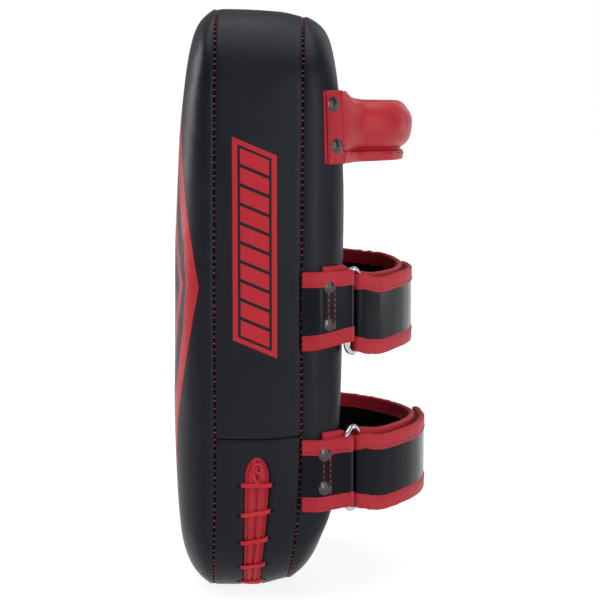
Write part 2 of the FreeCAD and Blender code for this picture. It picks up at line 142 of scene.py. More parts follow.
def smoothstep(low, high, value):
    """0 below low, 1 above high and a soft rise between."""
    t = min(max((value - low) / (high - low), 0.0), 1.0)
    return t * t * (3 - 2 * t)


def bell(value, size):
    """1 at 0, falling softly to 0 on both sides."""
    return math.exp(-(value / size) ** 2)


def fading(value, size):
    """1 at 0, falling to 0 over a few sizes."""
    return math.exp(-value / size)


def tangent(points, k):
    """Direction of a row of points at one of them."""
    return (points[min(k + 1, len(points) - 1)] - points[max(k - 1, 0)]).normalized()


# ------------------------------------------------------------------ outline
def rim(run):
    """Point (x, z) and outward normal on the outline, at a run from the base's middle to +X."""
    run = run % OUTLINE_RUN
    if run > OUTLINE_RUN / 2:
        (x, z), (nx, nz) = rim(OUTLINE_RUN - run)
        return (-x, z), (-nx, nz)
    if run < HALF_BASE:
        return (run, 0.0), (0.0, -1.0)
    run -= HALF_BASE
    if run < CORNER_RUN:
        turn = run / CORNER_R
        normal = (math.sin(turn), -math.cos(turn))
        return (HALF_BASE + CORNER_R * normal[0], CORNER_R + CORNER_R * normal[1]), normal
    run -= CORNER_RUN
    if run < SIDE_RUN:
        return (HALF_WIDTH, CORNER_R + run), (1.0, 0.0)
    run -= SIDE_RUN
    if run < CORNER_RUN:
        turn = run / CORNER_R
        normal = (math.cos(turn), math.sin(turn))
        top = HEIGHT - CORNER_R
        return (HALF_BASE + CORNER_R * normal[0], top + CORNER_R * normal[1]), normal
    return (HALF_BASE - (run - CORNER_RUN), HEIGHT), (0.0, 1.0)


def inset_ring(count, y, inset):
    """Ring of points at a depth, a number of millimetres in from the outline."""
    ring = []
    for k in range(count):
        (x, z), (nx, nz) = rim(OUTLINE_RUN * k / count)
        ring.append(Vector((x - nx * inset * MM, y, z - nz * inset * MM)))
    return ring


def side_run(z):
    """Run at which the near side reaches a height."""
    return HALF_BASE + CORNER_RUN + z - CORNER_R


def stuffed(point):
    """The pad's own shape: a little shorter towards the back, and its foot pulled forward."""
    depth = point.y / BACK_SEAM_Y
    if point.z > HEIGHT / 2:
        drop = 3.6 * MM * min(max((depth + 1) / 2, 0), 1) + 1.4 * MM * smoothstep(0.5, 1, depth)
        dz = -drop * (point.z / HEIGHT * 2 - 1)
    else:
        dz = 4.4 * MM * smoothstep(0.1, 1, depth) * (1 - point.z / HEIGHT * 2)
    low = max(1 - point.z / FOOT_HEIGHT, 0) ** 2
    dy = -FOOT_LEAN * low * (1 + 0.47 * min(max(depth, -1), 1) + 0.4 * min(max(depth, 0), 1) ** 2)
    dy += 1.2 * MM * smoothstep(0.5 * HEIGHT, HEIGHT, point.z)
    return Vector((point.x, point.y + dy, point.z + dz))


def on_band(run, y, out=0.0):
    """Point on the side band's leather, out above it."""
    (x, z), (nx, nz) = rim(run)
    return stuffed(Vector((x + nx * out, y, z + nz * out)))


def band_normal(run):
    """Direction straight out of the side band."""
    _, (nx, nz) = rim(run)
    return Vector((nx, 0, nz))


def off_floor(run):
    """0 on the flat base, which stands on the floor, and 1 up the sides."""
    _, (_, nz) = rim(run)
    return smoothstep(-1.0, -0.75, nz)


def waves(x, y, z, size):
    """Soft unevenness between -1 and 1, the same each time."""
    return noise.noise(Vector((x, y, z)) / size)


# ------------------------------------------------------------------ pad panels
def from_corner(x, z):
    """How far a point lies past the two lines through the corner's centre."""
    return abs(x) - HALF_BASE, abs(z - HEIGHT / 2) - (HEIGHT / 2 - CORNER_R)


def edge_distance(x, z):
    """How far a point of the outline's inside is from its edge."""
    dx, dz = from_corner(x, z)
    outside = math.hypot(max(dx, 0), max(dz, 0))
    return max(CORNER_R - outside - min(max(dx, dz), 0), 0)


def sideways(x, z):
    """1 where the nearest edge is a side, 0 where it is the top or the base."""
    dx, dz = from_corner(x, z)
    if dx > 0 and dz > 0:
        return smoothstep(0.3, 0.95, dx / math.hypot(dx, dz))
    return 1.0 if dx > dz else 0.0


def crown_height(x, z, crown):
    """Height of a stuffed face over its seam.

    The sides are full quarter rounds, the ends a quick roll that goes on rising slowly.
    """
    edge = edge_distance(x, z)
    side = sideways(x, z)
    low = smoothstep(0.6, 0.3, z / HEIGHT) if z < HEIGHT / 2 else 0.0
    roll_size = 5.5 * MM + (crown["low_roll"] - 5.5 * MM) * low
    end_roll = 1 - fading(edge, roll_size)
    reach = max(SIDE_ROUND - edge, 0)
    side_roll = math.sqrt(SIDE_ROUND ** 2 - reach ** 2) / SIDE_ROUND
    roll = end_roll + (side_roll - end_roll) * side
    slow = 1.0
    for end, distance in (("top", HEIGHT - z), ("low", z)):
        start = crown[end + "_start"]
        slow *= start + (1 - start) * (1 - fading(distance, crown[end + "_rise"]))
    if crown["side"] > 0:
        full = smoothstep(74 * MM, 93 * MM, abs(x))
        full *= smoothstep(20 * MM, 77 * MM, min(z, HEIGHT - z))
        slow += (CROWN / crown["peak"] - slow) * full
    else:
        slow *= 0.72 + 0.28 * (1 - fading(HALF_WIDTH - abs(x), 24 * MM))
    return crown["peak"] * roll * slow


FRONT_CROWN = {"side": -1, "seam_y": FRONT_SEAM_Y, "peak": 31.6 * MM, "low_roll": 5.5 * MM,
               "low_start": 0.32, "low_rise": 32 * MM, "top_start": 0.42, "top_rise": 68 * MM}
BACK_CROWN = {"side": 1, "seam_y": BACK_SEAM_Y, "peak": 31 * MM, "low_roll": 8 * MM,
              "low_start": 0.43, "low_rise": 105 * MM, "top_start": 0.503, "top_rise": 60 * MM}


def face_point(x, z, crown, lift):
    """Point of a stuffed face, before stuffed() shapes the pad."""
    edge = edge_distance(x, z)
    height = crown_height(x, z, crown) + 1.9 * MM * fading(edge, 4 * MM) * (1 - sideways(x, z))
    height += 2.4 * MM * sideways(x, z) * fading(edge, 9 * MM)
    near_edge = fading(edge, 12 * MM)
    height += 0.6 * MM * near_edge * waves(x, crown["side"], z, 9 * MM)
    height += 0.8 * MM * (1 - near_edge) * waves(x, crown["side"], z, 60 * MM)
    return Vector((x, crown["seam_y"] + crown["side"] * (height + lift), z))


def face_rings(crown, insets, count, lift=0.0):
    """Rings of points from the seam in to the middle line."""
    verts = []
    for inset in insets:
        share = inset * MM / HALF_WIDTH
        for k in range(count):
            (x, z), _ = rim(OUTLINE_RUN * k / count)
            middle_z = min(max(z, HALF_WIDTH), HEIGHT - HALF_WIDTH)
            verts.append(face_point(x * (1 - share), z + (middle_z - z) * share, crown, lift))
    return verts


def middle_faces(last, count):
    """Faces that close the innermost ring across the middle line."""
    return [(last + k, last + k + 1, last + (count - k - 1) % count, last + (count - k) % count)
            for k in range(count // 2)]


def stuffed_face(name, crown, material):
    """Striking face or back, from its turned edge in the seam to the middle."""
    count = 264
    lip = [(2.8, 0.1), (1.5, 0.2), (0.6, 0.7), (0.15, 1.5)]
    insets = [0.35, 1.0, 2.2, 4, 6.5, 9.5, 13, 17, 21, 25, 30, 36, 43, 51, 60, 70, 80, 89, 95, 99]
    verts = []
    for inset, rise in lip:
        verts += inset_ring(count, crown["seam_y"] + crown["side"] * rise * MM, inset)
    verts += face_rings(crown, insets, count)
    rings = len(lip) + len(insets)
    faces = grid_faces(rings, count, closed=True) + middle_faces((rings - 1) * count, count)
    if crown["side"] > 0:
        faces = [tuple(reversed(face)) for face in faces]
    piece = new_piece(name, [stuffed(v) for v in verts], faces, material)
    return smoothed(piece)


def band_strip(name, run_from, run_to, material, slot=False):
    """Side band between two runs along the outline, sunk at its seams and under the lacing."""
    steps = max(int((run_to - run_from) / (3.6 * MM)), 8)
    places = [run_from + (run_to - run_from) * k / steps for k in range(steps + 1)]
    ends = [0.5 * MM, 1.2 * MM, 2.2 * MM]
    places += [run_from + d for d in ends] + [run_to - d for d in ends]
    places.sort()
    half = [(29.0, 2.8), (28.8, 1.4), (28.2, 0.5), (27.2, 0.12)]
    half += [(y, 0) for y in (25.5, 22, 18, 14, 12, 10, 8.5, 7, 5, 2.5)]
    profile = [(-y, inset) for y, inset in half] + [(0, 0)] + half[::-1]
    verts = []
    for run in places:
        (x, z), (nx, nz) = rim(run)
        raised = off_floor(run)
        turned = fading(min(run - run_from, run_to - run), 0.8 * MM)
        width = slot_half(run) if slot else 0
        for y_mm, inset in profile:
            y = y_mm * MM
            arch = 1 - (y / BACK_SEAM_Y) ** 2
            edge = fading(BACK_SEAM_Y - abs(y), 5 * MM)
            out = raised * (1.0 * MM * arch + 0.35 * MM * edge * waves(x, y, z, 9 * MM)
                            + 0.4 * MM * arch * waves(x, y, z, 45 * MM))
            out -= inset * MM + 1.5 * MM * turned
            if width:
                sunk = (2.8 - 1.3 * raised) * MM
                out -= smoothstep(width + 1.5 * MM, width - 0.5 * MM, abs(y)) * sunk
            verts.append(Vector((x + nx * out, y, z + nz * out)))
    faces = grid_faces(len(places), len(profile))
    piece = new_piece(name, [stuffed(v) for v in verts], faces, material)
    return smoothed(piece)


def foam_face(name, crown, material):
    """Foam under a stuffed face: the same shape, a leather's thickness further in."""
    count = 120
    insets = [3, 5, 8, 12, 17, 23, 30, 40, 52, 65, 80, 92, 99]
    verts = face_rings(crown, insets, count, lift=-3.2 * MM)
    flat_y = crown["seam_y"] - crown["side"] * 2 * MM
    verts += [Vector((v.x, flat_y, v.z)) for v in verts[:count]]
    rings = len(insets)
    faces = grid_faces(rings, count, closed=True) + middle_faces((rings - 1) * count, count)
    base = rings * count
    faces += [(k, base + k, base + (k + 1) % count, (k + 1) % count) for k in range(count)]
    faces.append(tuple(range(base + count - 1, base - 1, -1)))
    return new_piece(name, [stuffed(v) for v in verts], faces, material)


def foam_middle(name, material):
    """Foam block inside the side band."""
    count = 120
    rows = [(FRONT_SEAM_Y + 2.4 * MM, 8), (FRONT_SEAM_Y + 4 * MM, 6), (BACK_SEAM_Y - 4 * MM, 6),
            (BACK_SEAM_Y - 2.4 * MM, 8)]
    verts = []
    for y, inset in rows:
        verts += inset_ring(count, y, inset)
    faces = tube_faces(len(rows), count)
    return new_piece(name, [stuffed(v) for v in verts], faces, material)


# ------------------------------------------------------------------ thread
def beads(name, places, length, radius, material):
    """Row of short threads, each (centre, along, out), that dive in at both ends."""
    half = [(0.18, 1.0, 0.0), (0.42, 0.8, -0.5), (0.5, 0.3, -1.3)]
    stations = [(-share, scale, sink) for share, scale, sink in reversed(half)] + half
    sides = 7
    verts = []
    faces = []
    for centre, along, out in places:
        along = along.normalized()
        out = (out - along * out.dot(along)).normalized()
        across = along.cross(out)
        start = len(verts)
        for share, scale, sink in stations:
            origin = centre + along * (share * length) + out * (sink * radius)
            for k in range(sides):
                turn = 2 * math.pi * k / sides
                spoke = across * math.cos(turn) + out * math.sin(turn)
                verts.append(origin + spoke * (radius * scale))
        faces += [tuple(start + i for i in face) for face in tube_faces(len(stations), sides)]
    return new_piece(name, verts, faces, material)


def seam_threads(name, y, material):
    """Thread that shows across one long seam of the pad."""
    count = int(OUTLINE_RUN / STITCH_PITCH)
    rng = random.Random(name)
    places = []
    for k in range(count):
        run = OUTLINE_RUN * (k + 0.15 * rng.uniform(-1, 1)) / count
        centre = on_band(run, y, -1.0 * MM)
        ahead = (on_band(run + MM, y) - on_band(run, y)) / MM
        slanted = Vector((0, 1, 0)) + ahead * rng.uniform(0.1, 0.4)
        places.append((centre, slanted, band_normal(run)))
    return beads(name, places, 2.6 * MM, THREAD_R, material)


# ------------------------------------------------------------------ lacing
def slot_end():
    """Run at which the laced slot ends, up the near side."""
    return side_run(SLOT_TOP_Z)


def slot_half(run):
    """Half width of the laced slot, 0 beyond its round ends."""
    run = run if run < OUTLINE_RUN / 2 else run - OUTLINE_RUN
    left = slot_end() - abs(run)
    if left <= 0:
        return 0.0
    (_, z), _ = rim(abs(run))
    half = 6.2 * MM + 2.3 * MM * smoothstep(0, 88 * MM, z)
    if left < SLOT_ROUND:
        half *= math.sqrt(1 - (1 - left / SLOT_ROUND) ** 2)
    return half


def slot_middle(run):
    """Where the middle of the slot lies across the band."""
    (x, z), _ = rim(run)
    return -0.8 * MM + 0.5 * MM * waves(x, 3.1, z, 40 * MM)


def binding_rise(run, across):
    """How far the slot's two folded bindings stand out, at a distance from their middle."""
    end_left = slot_end() - abs(run)
    half = slot_half(run)
    edge = half - abs(across)
    if end_left < SLOT_ROUND:
        edge = min(edge, end_left * 0.9)
    edge = max(edge, 0) / MM
    rise = -0.9 + 2.5 * smoothstep(0, 0.9, edge) - 1.25 * smoothstep(1.2, 1.9, edge)
    rise += 0.85 * smoothstep(2.1, 3.6, edge)
    (x, z), _ = rim(run)
    fold = 0.5 * MM * waves(x, 0.7, z, 16 * MM)
    rise -= 1.9 * bell(across - fold, 0.55 * MM) * smoothstep(1.5, 2.4, edge)
    crumple = smoothstep(20 * MM, 13 * MM, end_left) * smoothstep(1.5, 3.0, edge)
    rise += crumple * 1.2 * waves(x, across, z, 3.2 * MM)
    rise += 0.22 * waves(x, across, z, 5 * MM)
    if end_left < 20 * MM:
        rise = max(rise, 0.5 * smoothstep(0.6, 1.2, edge) - 0.9)
    return rise * MM


def pressed_flat(rise, raised):
    """How far the bindings stand out where the pad may stand on them: raised is off_floor()."""
    return rise * (0.55 + 0.45 * raised) - 1.3 * MM * (1 - raised)


def slot_bindings(name, material):
    """The two red edge bindings that meet over the slot, round both ends."""
    end = slot_end()
    steps = int(2 * end / (1.5 * MM))
    columns = 36
    verts = []
    for r in range(steps + 1):
        share = r / steps
        run = -end + 2 * end * share
        close = min(share, 1 - share) * 2 * end
        if close < 3 * MM:
            run = math.copysign(end - close * close / (3 * MM), run)
        half = slot_half(run)
        raised = off_floor(run)
        lace_press = bell(from_lace(run), LACE_PRESS)
        for c in range(columns + 1):
            across = half * (1 - 0.05 * lace_press) * math.sin((c / columns - 0.5) * math.pi)
            rise = pressed_flat(binding_rise(run, across) - 0.45 * MM * lace_press, raised)
            verts.append(on_band(run, slot_middle(run) + across, rise))
    return smoothed(new_piece(name, verts, grid_faces(steps + 1, columns + 1), material))


def lace_runs():
    """Where the lace crosses the slot, as runs along the outline."""
    return [-run for run in reversed(LACE_RUNS)] + LACE_RUNS


def from_lace(run):
    """How far a run is from the nearest bar of the lace."""
    return min(abs(run - bar) for bar in lace_runs())


def lace_slant(run):
    """How far the ends of a bar of the lace lie off its middle; the two top bars are level."""
    return 0.0 if abs(run) > 155 * MM else 1.5 * MM * math.copysign(1, run)


def lace_path():
    """One lace: over the slot from hole to hole, then back to the next hole inside the pad."""
    points = []
    for run in lace_runs():
        half = slot_half(run) + 2.2 * MM
        middle = slot_middle(run)
        raised = off_floor(run)
        slant = lace_slant(run)
        top = 1.75 * MM * raised - 0.75 * MM * (1 - raised)
        half_bar = [(0.4, top), (0.8, top - 0.1 * MM), (0.93, top - 1.0 * MM)]
        half_bar += [(1, -1.5 * MM), (1, -5 * MM)]
        whole_bar = [(-share, out) for share, out in reversed(half_bar)]
        whole_bar += [(0, top - 0.25 * MM * raised)] + half_bar
        for share, out in whole_bar:
            points.append((run + slant * share, middle + half * share, out))
    return points


def lace(name, material):
    """Flat lace with rounded edges, a little uneven."""
    path = lace_path()
    fine = []
    for start, end in zip(path, path[1:]):
        steps = 4 if abs(end[0] - start[0]) < 4 * MM else 8
        fine += [tuple(a + (b - a) * k / steps for a, b in zip(start, end)) for k in range(steps)]
    for _ in range(3):
        fine = [fine[0]] + [tuple((a + 2 * b + c) / 4 for a, b, c in zip(p, q, r))
                            for p, q, r in zip(fine, fine[1:], fine[2:])] + [fine[-1]]
    points = [on_band(*place) for place in fine]
    section = rounded_section(1.5 * MM, 0.75 * MM, 0.6 * MM)
    stations = []
    for k, (run, y, _) in enumerate(fine):
        ahead = tangent(points, k)
        along_band = (on_band(run + MM, y) - on_band(run - MM, y)).normalized()
        wide = (along_band - ahead * along_band.dot(ahead)).normalized()
        thick = wide.cross(ahead)
        twist = 0.18 * waves(run, 5.5, y, 8 * MM)
        stations.append((points[k], wide * math.cos(twist) + thick * math.sin(twist),
                         thick * math.cos(twist) - wide * math.sin(twist), 1.0, 1.0))
    return swept(name, stations, section, material)


def lace_knot(name, side, material):
    """The end of the lace, coiled and tucked in under the arch of the bindings."""
    middle_run = slot_end() - 8.5 * MM
    steps = 64
    places = []
    outs = []
    for k in range(steps + 1):
        share = k / steps
        turn = math.radians(-100 + 560 * share)
        reach = (4.0 - 3.1 * share) * MM
        tail = 5 * MM * max(0.22 - share, 0) / 0.22
        run = middle_run + reach * math.sin(turn) * 1.2 - tail
        y = slot_middle(middle_run) - reach * math.cos(turn) * 0.95 + 0.8 * MM
        places.append(on_band(run * side, y, (1.0 + 1.5 * share) * MM))
        outs.append(band_normal(run * side))
    stations = []
    for k, (place, out) in enumerate(zip(places, outs)):
        thin = 1 - 0.35 * k / steps
        stations.append((place, out, tangent(places, k).cross(out).normalized(), thin, thin))
    return swept(name, stations, rounded_section(0.95 * MM, 1.25 * MM, 0.9 * MM), material)


def lace_holes(name, material):
    """Punched holes shown as near-black discs of painted shade, for the dark inside of each
    opening, long in the direction of the lace, at both ends of each bar.
    """
    verts = []
    faces = []
    sides = 20
    for run in lace_runs():
        for side in (-1, 1):
            y = slot_middle(run) + side * (slot_half(run) + 3.1 * MM)
            arch = 1.0 * MM * (1 - (y / BACK_SEAM_Y) ** 2)
            start = len(verts)
            for scale, out in ((1.0, 0.12), (0.8, 0.2), (0.4, 0.16), (0.0, 0.14)):
                for k in range(sides):
                    turn = 2 * math.pi * k / sides
                    rise = off_floor(run) * (out * MM + arch) - 0.02 * MM
                    hole_run = run + lace_slant(run) * side + 1.25 * MM * scale * math.sin(turn)
                    verts.append(on_band(hole_run, y + 1.9 * MM * scale * math.cos(turn), rise))
            rings = grid_faces(4, sides, closed=True)
            faces += [tuple(start + i for i in face) for face in rings]
    return new_piece(name, verts, faces, material)


# ------------------------------------------------------------------ strips along a path
def rounded_section(half_a, half_b, radius, bulge=0.0):
    """Closed section of a flat strip with rounded edges, anticlockwise."""
    section = []
    steps = 3
    face = [(half_a * (0.5 - t), half_b + bulge * math.sin(math.pi * t)) for t in (0.25, 0.5, 0.75)]
    for corner, (sa, sb) in enumerate(((1, 1), (-1, 1), (-1, -1), (1, -1))):
        for k in range(steps + 1):
            turn = math.pi / 2 * (corner + k / steps)
            section.append((sa * (half_a - radius) + radius * math.cos(turn),
                            sb * (half_b - radius) + radius * math.sin(turn)))
        if corner == 0:
            section += face
        if corner == 2:
            section += [(-a, -b) for a, b in face]
    return section


class Path:
    """Line in plan (x, y) that a strip of leather follows."""

    def __init__(self):
        self.points = []

    def arc(self, centre, radius, start, end, step=1.5 * MM):
        """Add an arc, angles in degrees; radius may be a pair that it changes between."""
        r0, r1 = radius if isinstance(radius, tuple) else (radius, radius)
        sweep = math.radians(end - start)
        count = max(int(abs(sweep) * max(r0, r1) / step), 6)
        for k in range(count + 1):
            share = k / count
            turn = math.radians(start) + sweep * share
            reach = r0 + (r1 - r0) * smoothstep(0, 1, share)
            point = Vector((centre[0] + reach * math.cos(turn), centre[1] + reach * math.sin(turn)))
            if not self.points or (point - self.points[-1]).length > 0.2 * MM:
                self.points.append(point)
        return self

    def line(self, end, step=1.5 * MM):
        """Add a straight run to a point."""
        start = self.points[-1]
        run = Vector(end) - start
        count = max(int(run.length / step), 1)
        self.points += [start + run * (k / count) for k in range(1, count + 1)]
        return self

    def frames(self):
        """(point, tangent, left normal, distance) at each point."""
        made = []
        distance = 0.0
        for k, point in enumerate(self.points):
            ahead = tangent(self.points, k)
            if k:
                distance += (point - self.points[k - 1]).length
            made.append((point, ahead, Vector((-ahead.y, ahead.x)), distance))
        return made


class Strip:
    """Strip of black leather along a path, with red bindings sewn over both its edges."""

    def __init__(self, path, middle, half, sway=0.3 * MM):
        """middle(distance) is the height of its centre line, half(distance) its half width."""
        self.frames = path.frames()
        self.middle = middle
        self.half = half
        self.length = self.frames[-1][3]
        self.places = []
        for point, ahead, left, distance in self.frames:
            side = Vector((left.x, left.y, 0))
            drift = sway * waves(distance, 1.7, 0.3, 14 * MM)
            origin = Vector((point.x, point.y, middle(distance))) + side * drift
            self.places.append((origin, side, ahead, distance))

    def core(self, name, material):
        """The strip itself."""
        face = [(1, -1), (1.12, -0.7), (1.2, -0.35), (1.2, 0), (1.2, 0.35), (1.12, 0.7), (1, 1)]
        profile = face + [(-a, b) for a, b in reversed(face)]
        section = [(STRAP_THICK / 2 * a, b) for a, b in profile]
        stations = [(origin, side, UP, 1.0, self.half(distance) - 0.6 * MM)
                    for origin, side, _, distance in self.places]
        return swept(name, stations, section, material)

    def bindings(self, name, crumpled, material):
        """Both bindings as one piece; crumpled(distance) says how creased they are."""
        half_width = BINDING_WIDTH / 2 + 0.3 * MM
        section = rounded_section(STRAP_THICK / 2 + 0.65 * MM, half_width, 0.9 * MM, bulge=0.5 * MM)
        pieces = []
        for side_up in (1, -1):
            stations = []
            for origin, side, _, distance in self.places:
                crease = 0.25 + crumpled(distance)
                wave = waves(distance, side_up * 3.3, self.middle(0) * 7, 6 * MM)
                rise = side_up * (self.half(distance) + 0.6 * MM - BINDING_WIDTH / 2 - 0.3 * MM)
                rise += crease * 0.9 * MM * wave
                squeeze = 1 + 0.12 * crease * waves(distance, 9.1, side_up * 2.0, 3.5 * MM)
                stations.append((origin + UP * rise, side, UP, squeeze, 1.0))
            pieces.append(swept(f"{name}_{side_up}", stations, section, material))
        return joined(name, pieces)

    def edge_thread(self, name, start, end, material, faces=(1, -1)):
        """Thread along both bindings, on the given faces of the strip."""
        stitches = []
        target = start
        rng = random.Random(int(start * 1e5) + len(self.frames))
        for origin, side, ahead, distance in self.places:
            if distance < target or distance > end:
                continue
            target += 3.4 * MM
            along = Vector((ahead.x, ahead.y, rng.uniform(-0.12, 0.12)))
            for up in (1, -1):
                rise = up * (self.half(distance) + 0.6 * MM - BINDING_WIDTH + 1.6 * MM)
                for face in faces:
                    out = side * face
                    centre = origin + UP * rise + out * (STRAP_THICK / 2 + 0.72 * MM)
                    stitches.append((centre, along, out))
        return beads(name, stitches, 2.1 * MM, 0.28 * MM, material)


def joined(name, pieces):
    """Several meshes as one piece."""
    verts = []
    faces = []
    for piece in pieces:
        base = len(verts)
        verts += [v.co.copy() for v in piece.data.vertices]
        faces += [tuple(base + i for i in polygon.vertices) for polygon in piece.data.polygons]
    material = pieces[0].data.materials[0]
    for piece in pieces:
        mesh = piece.data
        bpy.data.objects.remove(piece)
        bpy.data.meshes.remove(mesh)
    return new_piece(name, verts, faces, material)


# ------------------------------------------------------------------ materials
class Graph:
    """Short way to write a material's node tree."""

    def __init__(self, name):
        self.material = bpy.data.materials.new(name)
        self.material.use_nodes = True
        self.tree = self.material.node_tree
        self.tree.nodes.clear()
        self.shader = self.add("ShaderNodeBsdfPrincipled")
        output = self.add("ShaderNodeOutputMaterial")
        self.tree.links.new(self.shader.outputs[0], output.inputs[0])
        self.place = self.add("ShaderNodeTexCoord").outputs["Object"]

    def add(self, kind, **settings):
        node = self.tree.nodes.new(kind)
        for key, value in settings.items():
            setattr(node, key, value)
        return node

    def plug(self, value, socket):
        if isinstance(value, bpy.types.NodeSocket):
            self.tree.links.new(value, socket)
        else:
            socket.default_value = value

    def math(self, operation, a, b=0.0):
        node = self.add("ShaderNodeMath", operation=operation)
        self.plug(a, node.inputs[0])
        self.plug(b, node.inputs[1])
        return node.outputs[0]

    def axes(self):
        node = self.add("ShaderNodeSeparateXYZ")
        self.plug(self.place, node.inputs[0])
        return node.outputs

    def noise(self, scale, detail=3.0, roughness=0.5):
        node = self.add("ShaderNodeTexNoise")
        self.plug(self.place, node.inputs["Vector"])
        node.inputs["Scale"].default_value = scale
        node.inputs["Detail"].default_value = detail
        node.inputs["Roughness"].default_value = roughness
        return node.outputs["Fac"]

    def cells(self, scale):
        node = self.add("ShaderNodeTexVoronoi", feature="DISTANCE_TO_EDGE")
        self.plug(self.place, node.inputs["Vector"])
        node.inputs["Scale"].default_value = scale
        return node.outputs["Distance"]

    def ramp(self, value, low, high, out_low=0.0, out_high=1.0):
        node = self.add("ShaderNodeMapRange")
        self.plug(value, node.inputs["Value"])
        for socket, number in zip(("From Min", "From Max", "To Min", "To Max"),
                                  (low, high, out_low, out_high)):
            node.inputs[socket].default_value = number
        return node.outputs["Result"]

    def mix(self, share, a, b):
        node = self.add("ShaderNodeMix", data_type="RGBA")
        self.plug(share, node.inputs[0])
        self.plug(a, node.inputs[6])
        self.plug(b, node.inputs[7])
        return node.outputs[2]

    def bump(self, height, distance, strength=1.0, base=None):
        node = self.add("ShaderNodeBump")
        self.plug(height, node.inputs["Height"])
        node.inputs["Distance"].default_value = distance
        node.inputs["Strength"].default_value = strength
        if base is not None:
            self.plug(base, node.inputs["Normal"])
        return node.outputs[0]

    def between(self, value, low, high, soft=0.0002):
        """1 inside low..high and 0 outside, with soft edges."""
        return self.math("MULTIPLY", self.ramp(value, low - soft, low + soft),
                         self.ramp(value, high - soft, high + soft, 1.0, 0.0))

    def finish(self, colour, roughness, normal=None, **constants):
        """Fill the shader's sockets and give the material; a constant's name has _ for a space."""
        sockets = self.shader.inputs
        self.plug(colour, sockets["Base Color"])
        self.plug(roughness, sockets["Roughness"])
        if normal is not None:
            self.plug(normal, sockets["Normal"])
        for name, number in constants.items():
            sockets[name.replace("_", " ")].default_value = number
        return self.material


def rgb(red, green, blue):
    """Linear colour from display values of 0 to 255."""
    def linear(value):
        value /= 255
        return value / 12.92 if value < 0.04045 else ((value + 0.055) / 1.055) ** 2.4
    return (linear(red), linear(green), linear(blue), 1.0)


BLACK = rgb(12, 13, 21)
BLACK_WORN = rgb(18, 19, 28)
RED = rgb(168, 30, 40)
RED_LIGHT = rgb(178, 42, 52)
GRIP_RED = rgb(150, 24, 35)
PRINT_RED = rgb(160, 29, 39)
PRINT_RED_LIGHT = rgb(174, 31, 43)
# near-black tones of the lace holes: painted shade for the dark inside of the punched openings
HOLE_SHADE_TONES = ((0.0015, 0.0015, 0.002, 1), (0.006, 0.006, 0.007, 1))
FOAM_TONES = (rgb(120, 116, 104), rgb(206, 202, 188))
PILE_TONES = (rgb(14, 14, 16), rgb(52, 52, 56))
STRIPE_TIP_Z = 0.2154         # height at which the face's stripes point outwards
STRIPE_END = 0.183            # how far from the tip the stripes reach, at the seam
BADGE_Y = (-0.0165, 0.0128)   # the badge's left and right edges
BADGE_ALONG = (0.1804, 0.3148)    # its ends, along the slanted direction
BADGE_SLOPE = 0.42
BAR_START = 0.1856
BAR_PITCH = 0.01264
BAR_LENGTH = 0.0104


def leather(name, colour, worn, rough, grain, printed=None, grain_depth=0.06 * MM, shine=0.17):
    """Finished leather: pores, faint creases, uneven shine; printed(graph) gives a red mask."""
    g = Graph(name)
    cloud = g.noise(28, 4)
    fine = g.noise(220, 3)
    tone = g.mix(g.ramp(cloud, 0.35, 0.7), colour, worn)
    rough_low = g.ramp(cloud, 0.3, 0.7, rough - 0.05, rough + 0.07)
    roughness = g.math("ADD", rough_low, g.ramp(fine, 0.3, 0.7, -0.03, 0.03))
    if printed is not None:
        mask = printed(g)
        worn_mask = g.math("MULTIPLY", mask, g.ramp(g.noise(60, 5, 0.7), 0.22, 0.3))
        print_tone = g.mix(g.ramp(fine, 0.3, 0.7), PRINT_RED, PRINT_RED_LIGHT)
        tone = g.mix(worn_mask, tone, print_tone)
    pores = g.ramp(g.cells(grain), 0.0, 0.25)
    normal = g.bump(pores, grain_depth, 0.35)
    normal = g.bump(g.noise(75, 5, 0.6), 0.5 * MM, 0.22, normal)
    if printed is not None:
        normal = g.bump(mask, 0.12 * MM, 0.5, normal)
    return g.finish(tone, roughness, normal, Specular_IOR_Level=shine)


def thread(name, colour, shade):
    """Waxed sewing thread with a fine twist, unevenly worn."""
    g = Graph(name)
    twist = g.noise(2600, 2)
    patch = g.noise(190, 2)
    tone = g.mix(g.ramp(patch, 0.4, 0.6), colour, shade)
    return g.finish(g.mix(g.ramp(twist, 0.4, 0.8), tone, shade), g.ramp(twist, 0.3, 0.7, 0.5, 0.7),
                    g.bump(twist, 0.1 * MM, 0.5))


def grained(name, pattern, tones, tone_span, rough_span, rough, relief, **constants):
    """Finish whose two tones, roughness and relief all follow one pattern(graph)."""
    g = Graph(name)
    grain = pattern(g)
    return g.finish(g.mix(g.ramp(grain, *tone_span), *tones), g.ramp(grain, *rough_span, *rough),
                    g.bump(grain, *relief), **constants)


def metal(name, tones, rough):
    """Polished metal with faint scuffs."""
    return grained(name, lambda g: g.noise(420, 6, 0.7), tones, (0.45, 0.75), (0.4, 0.8),
                   (rough, rough + 0.2), (0.05 * MM, 0.2), Metallic=1.0)


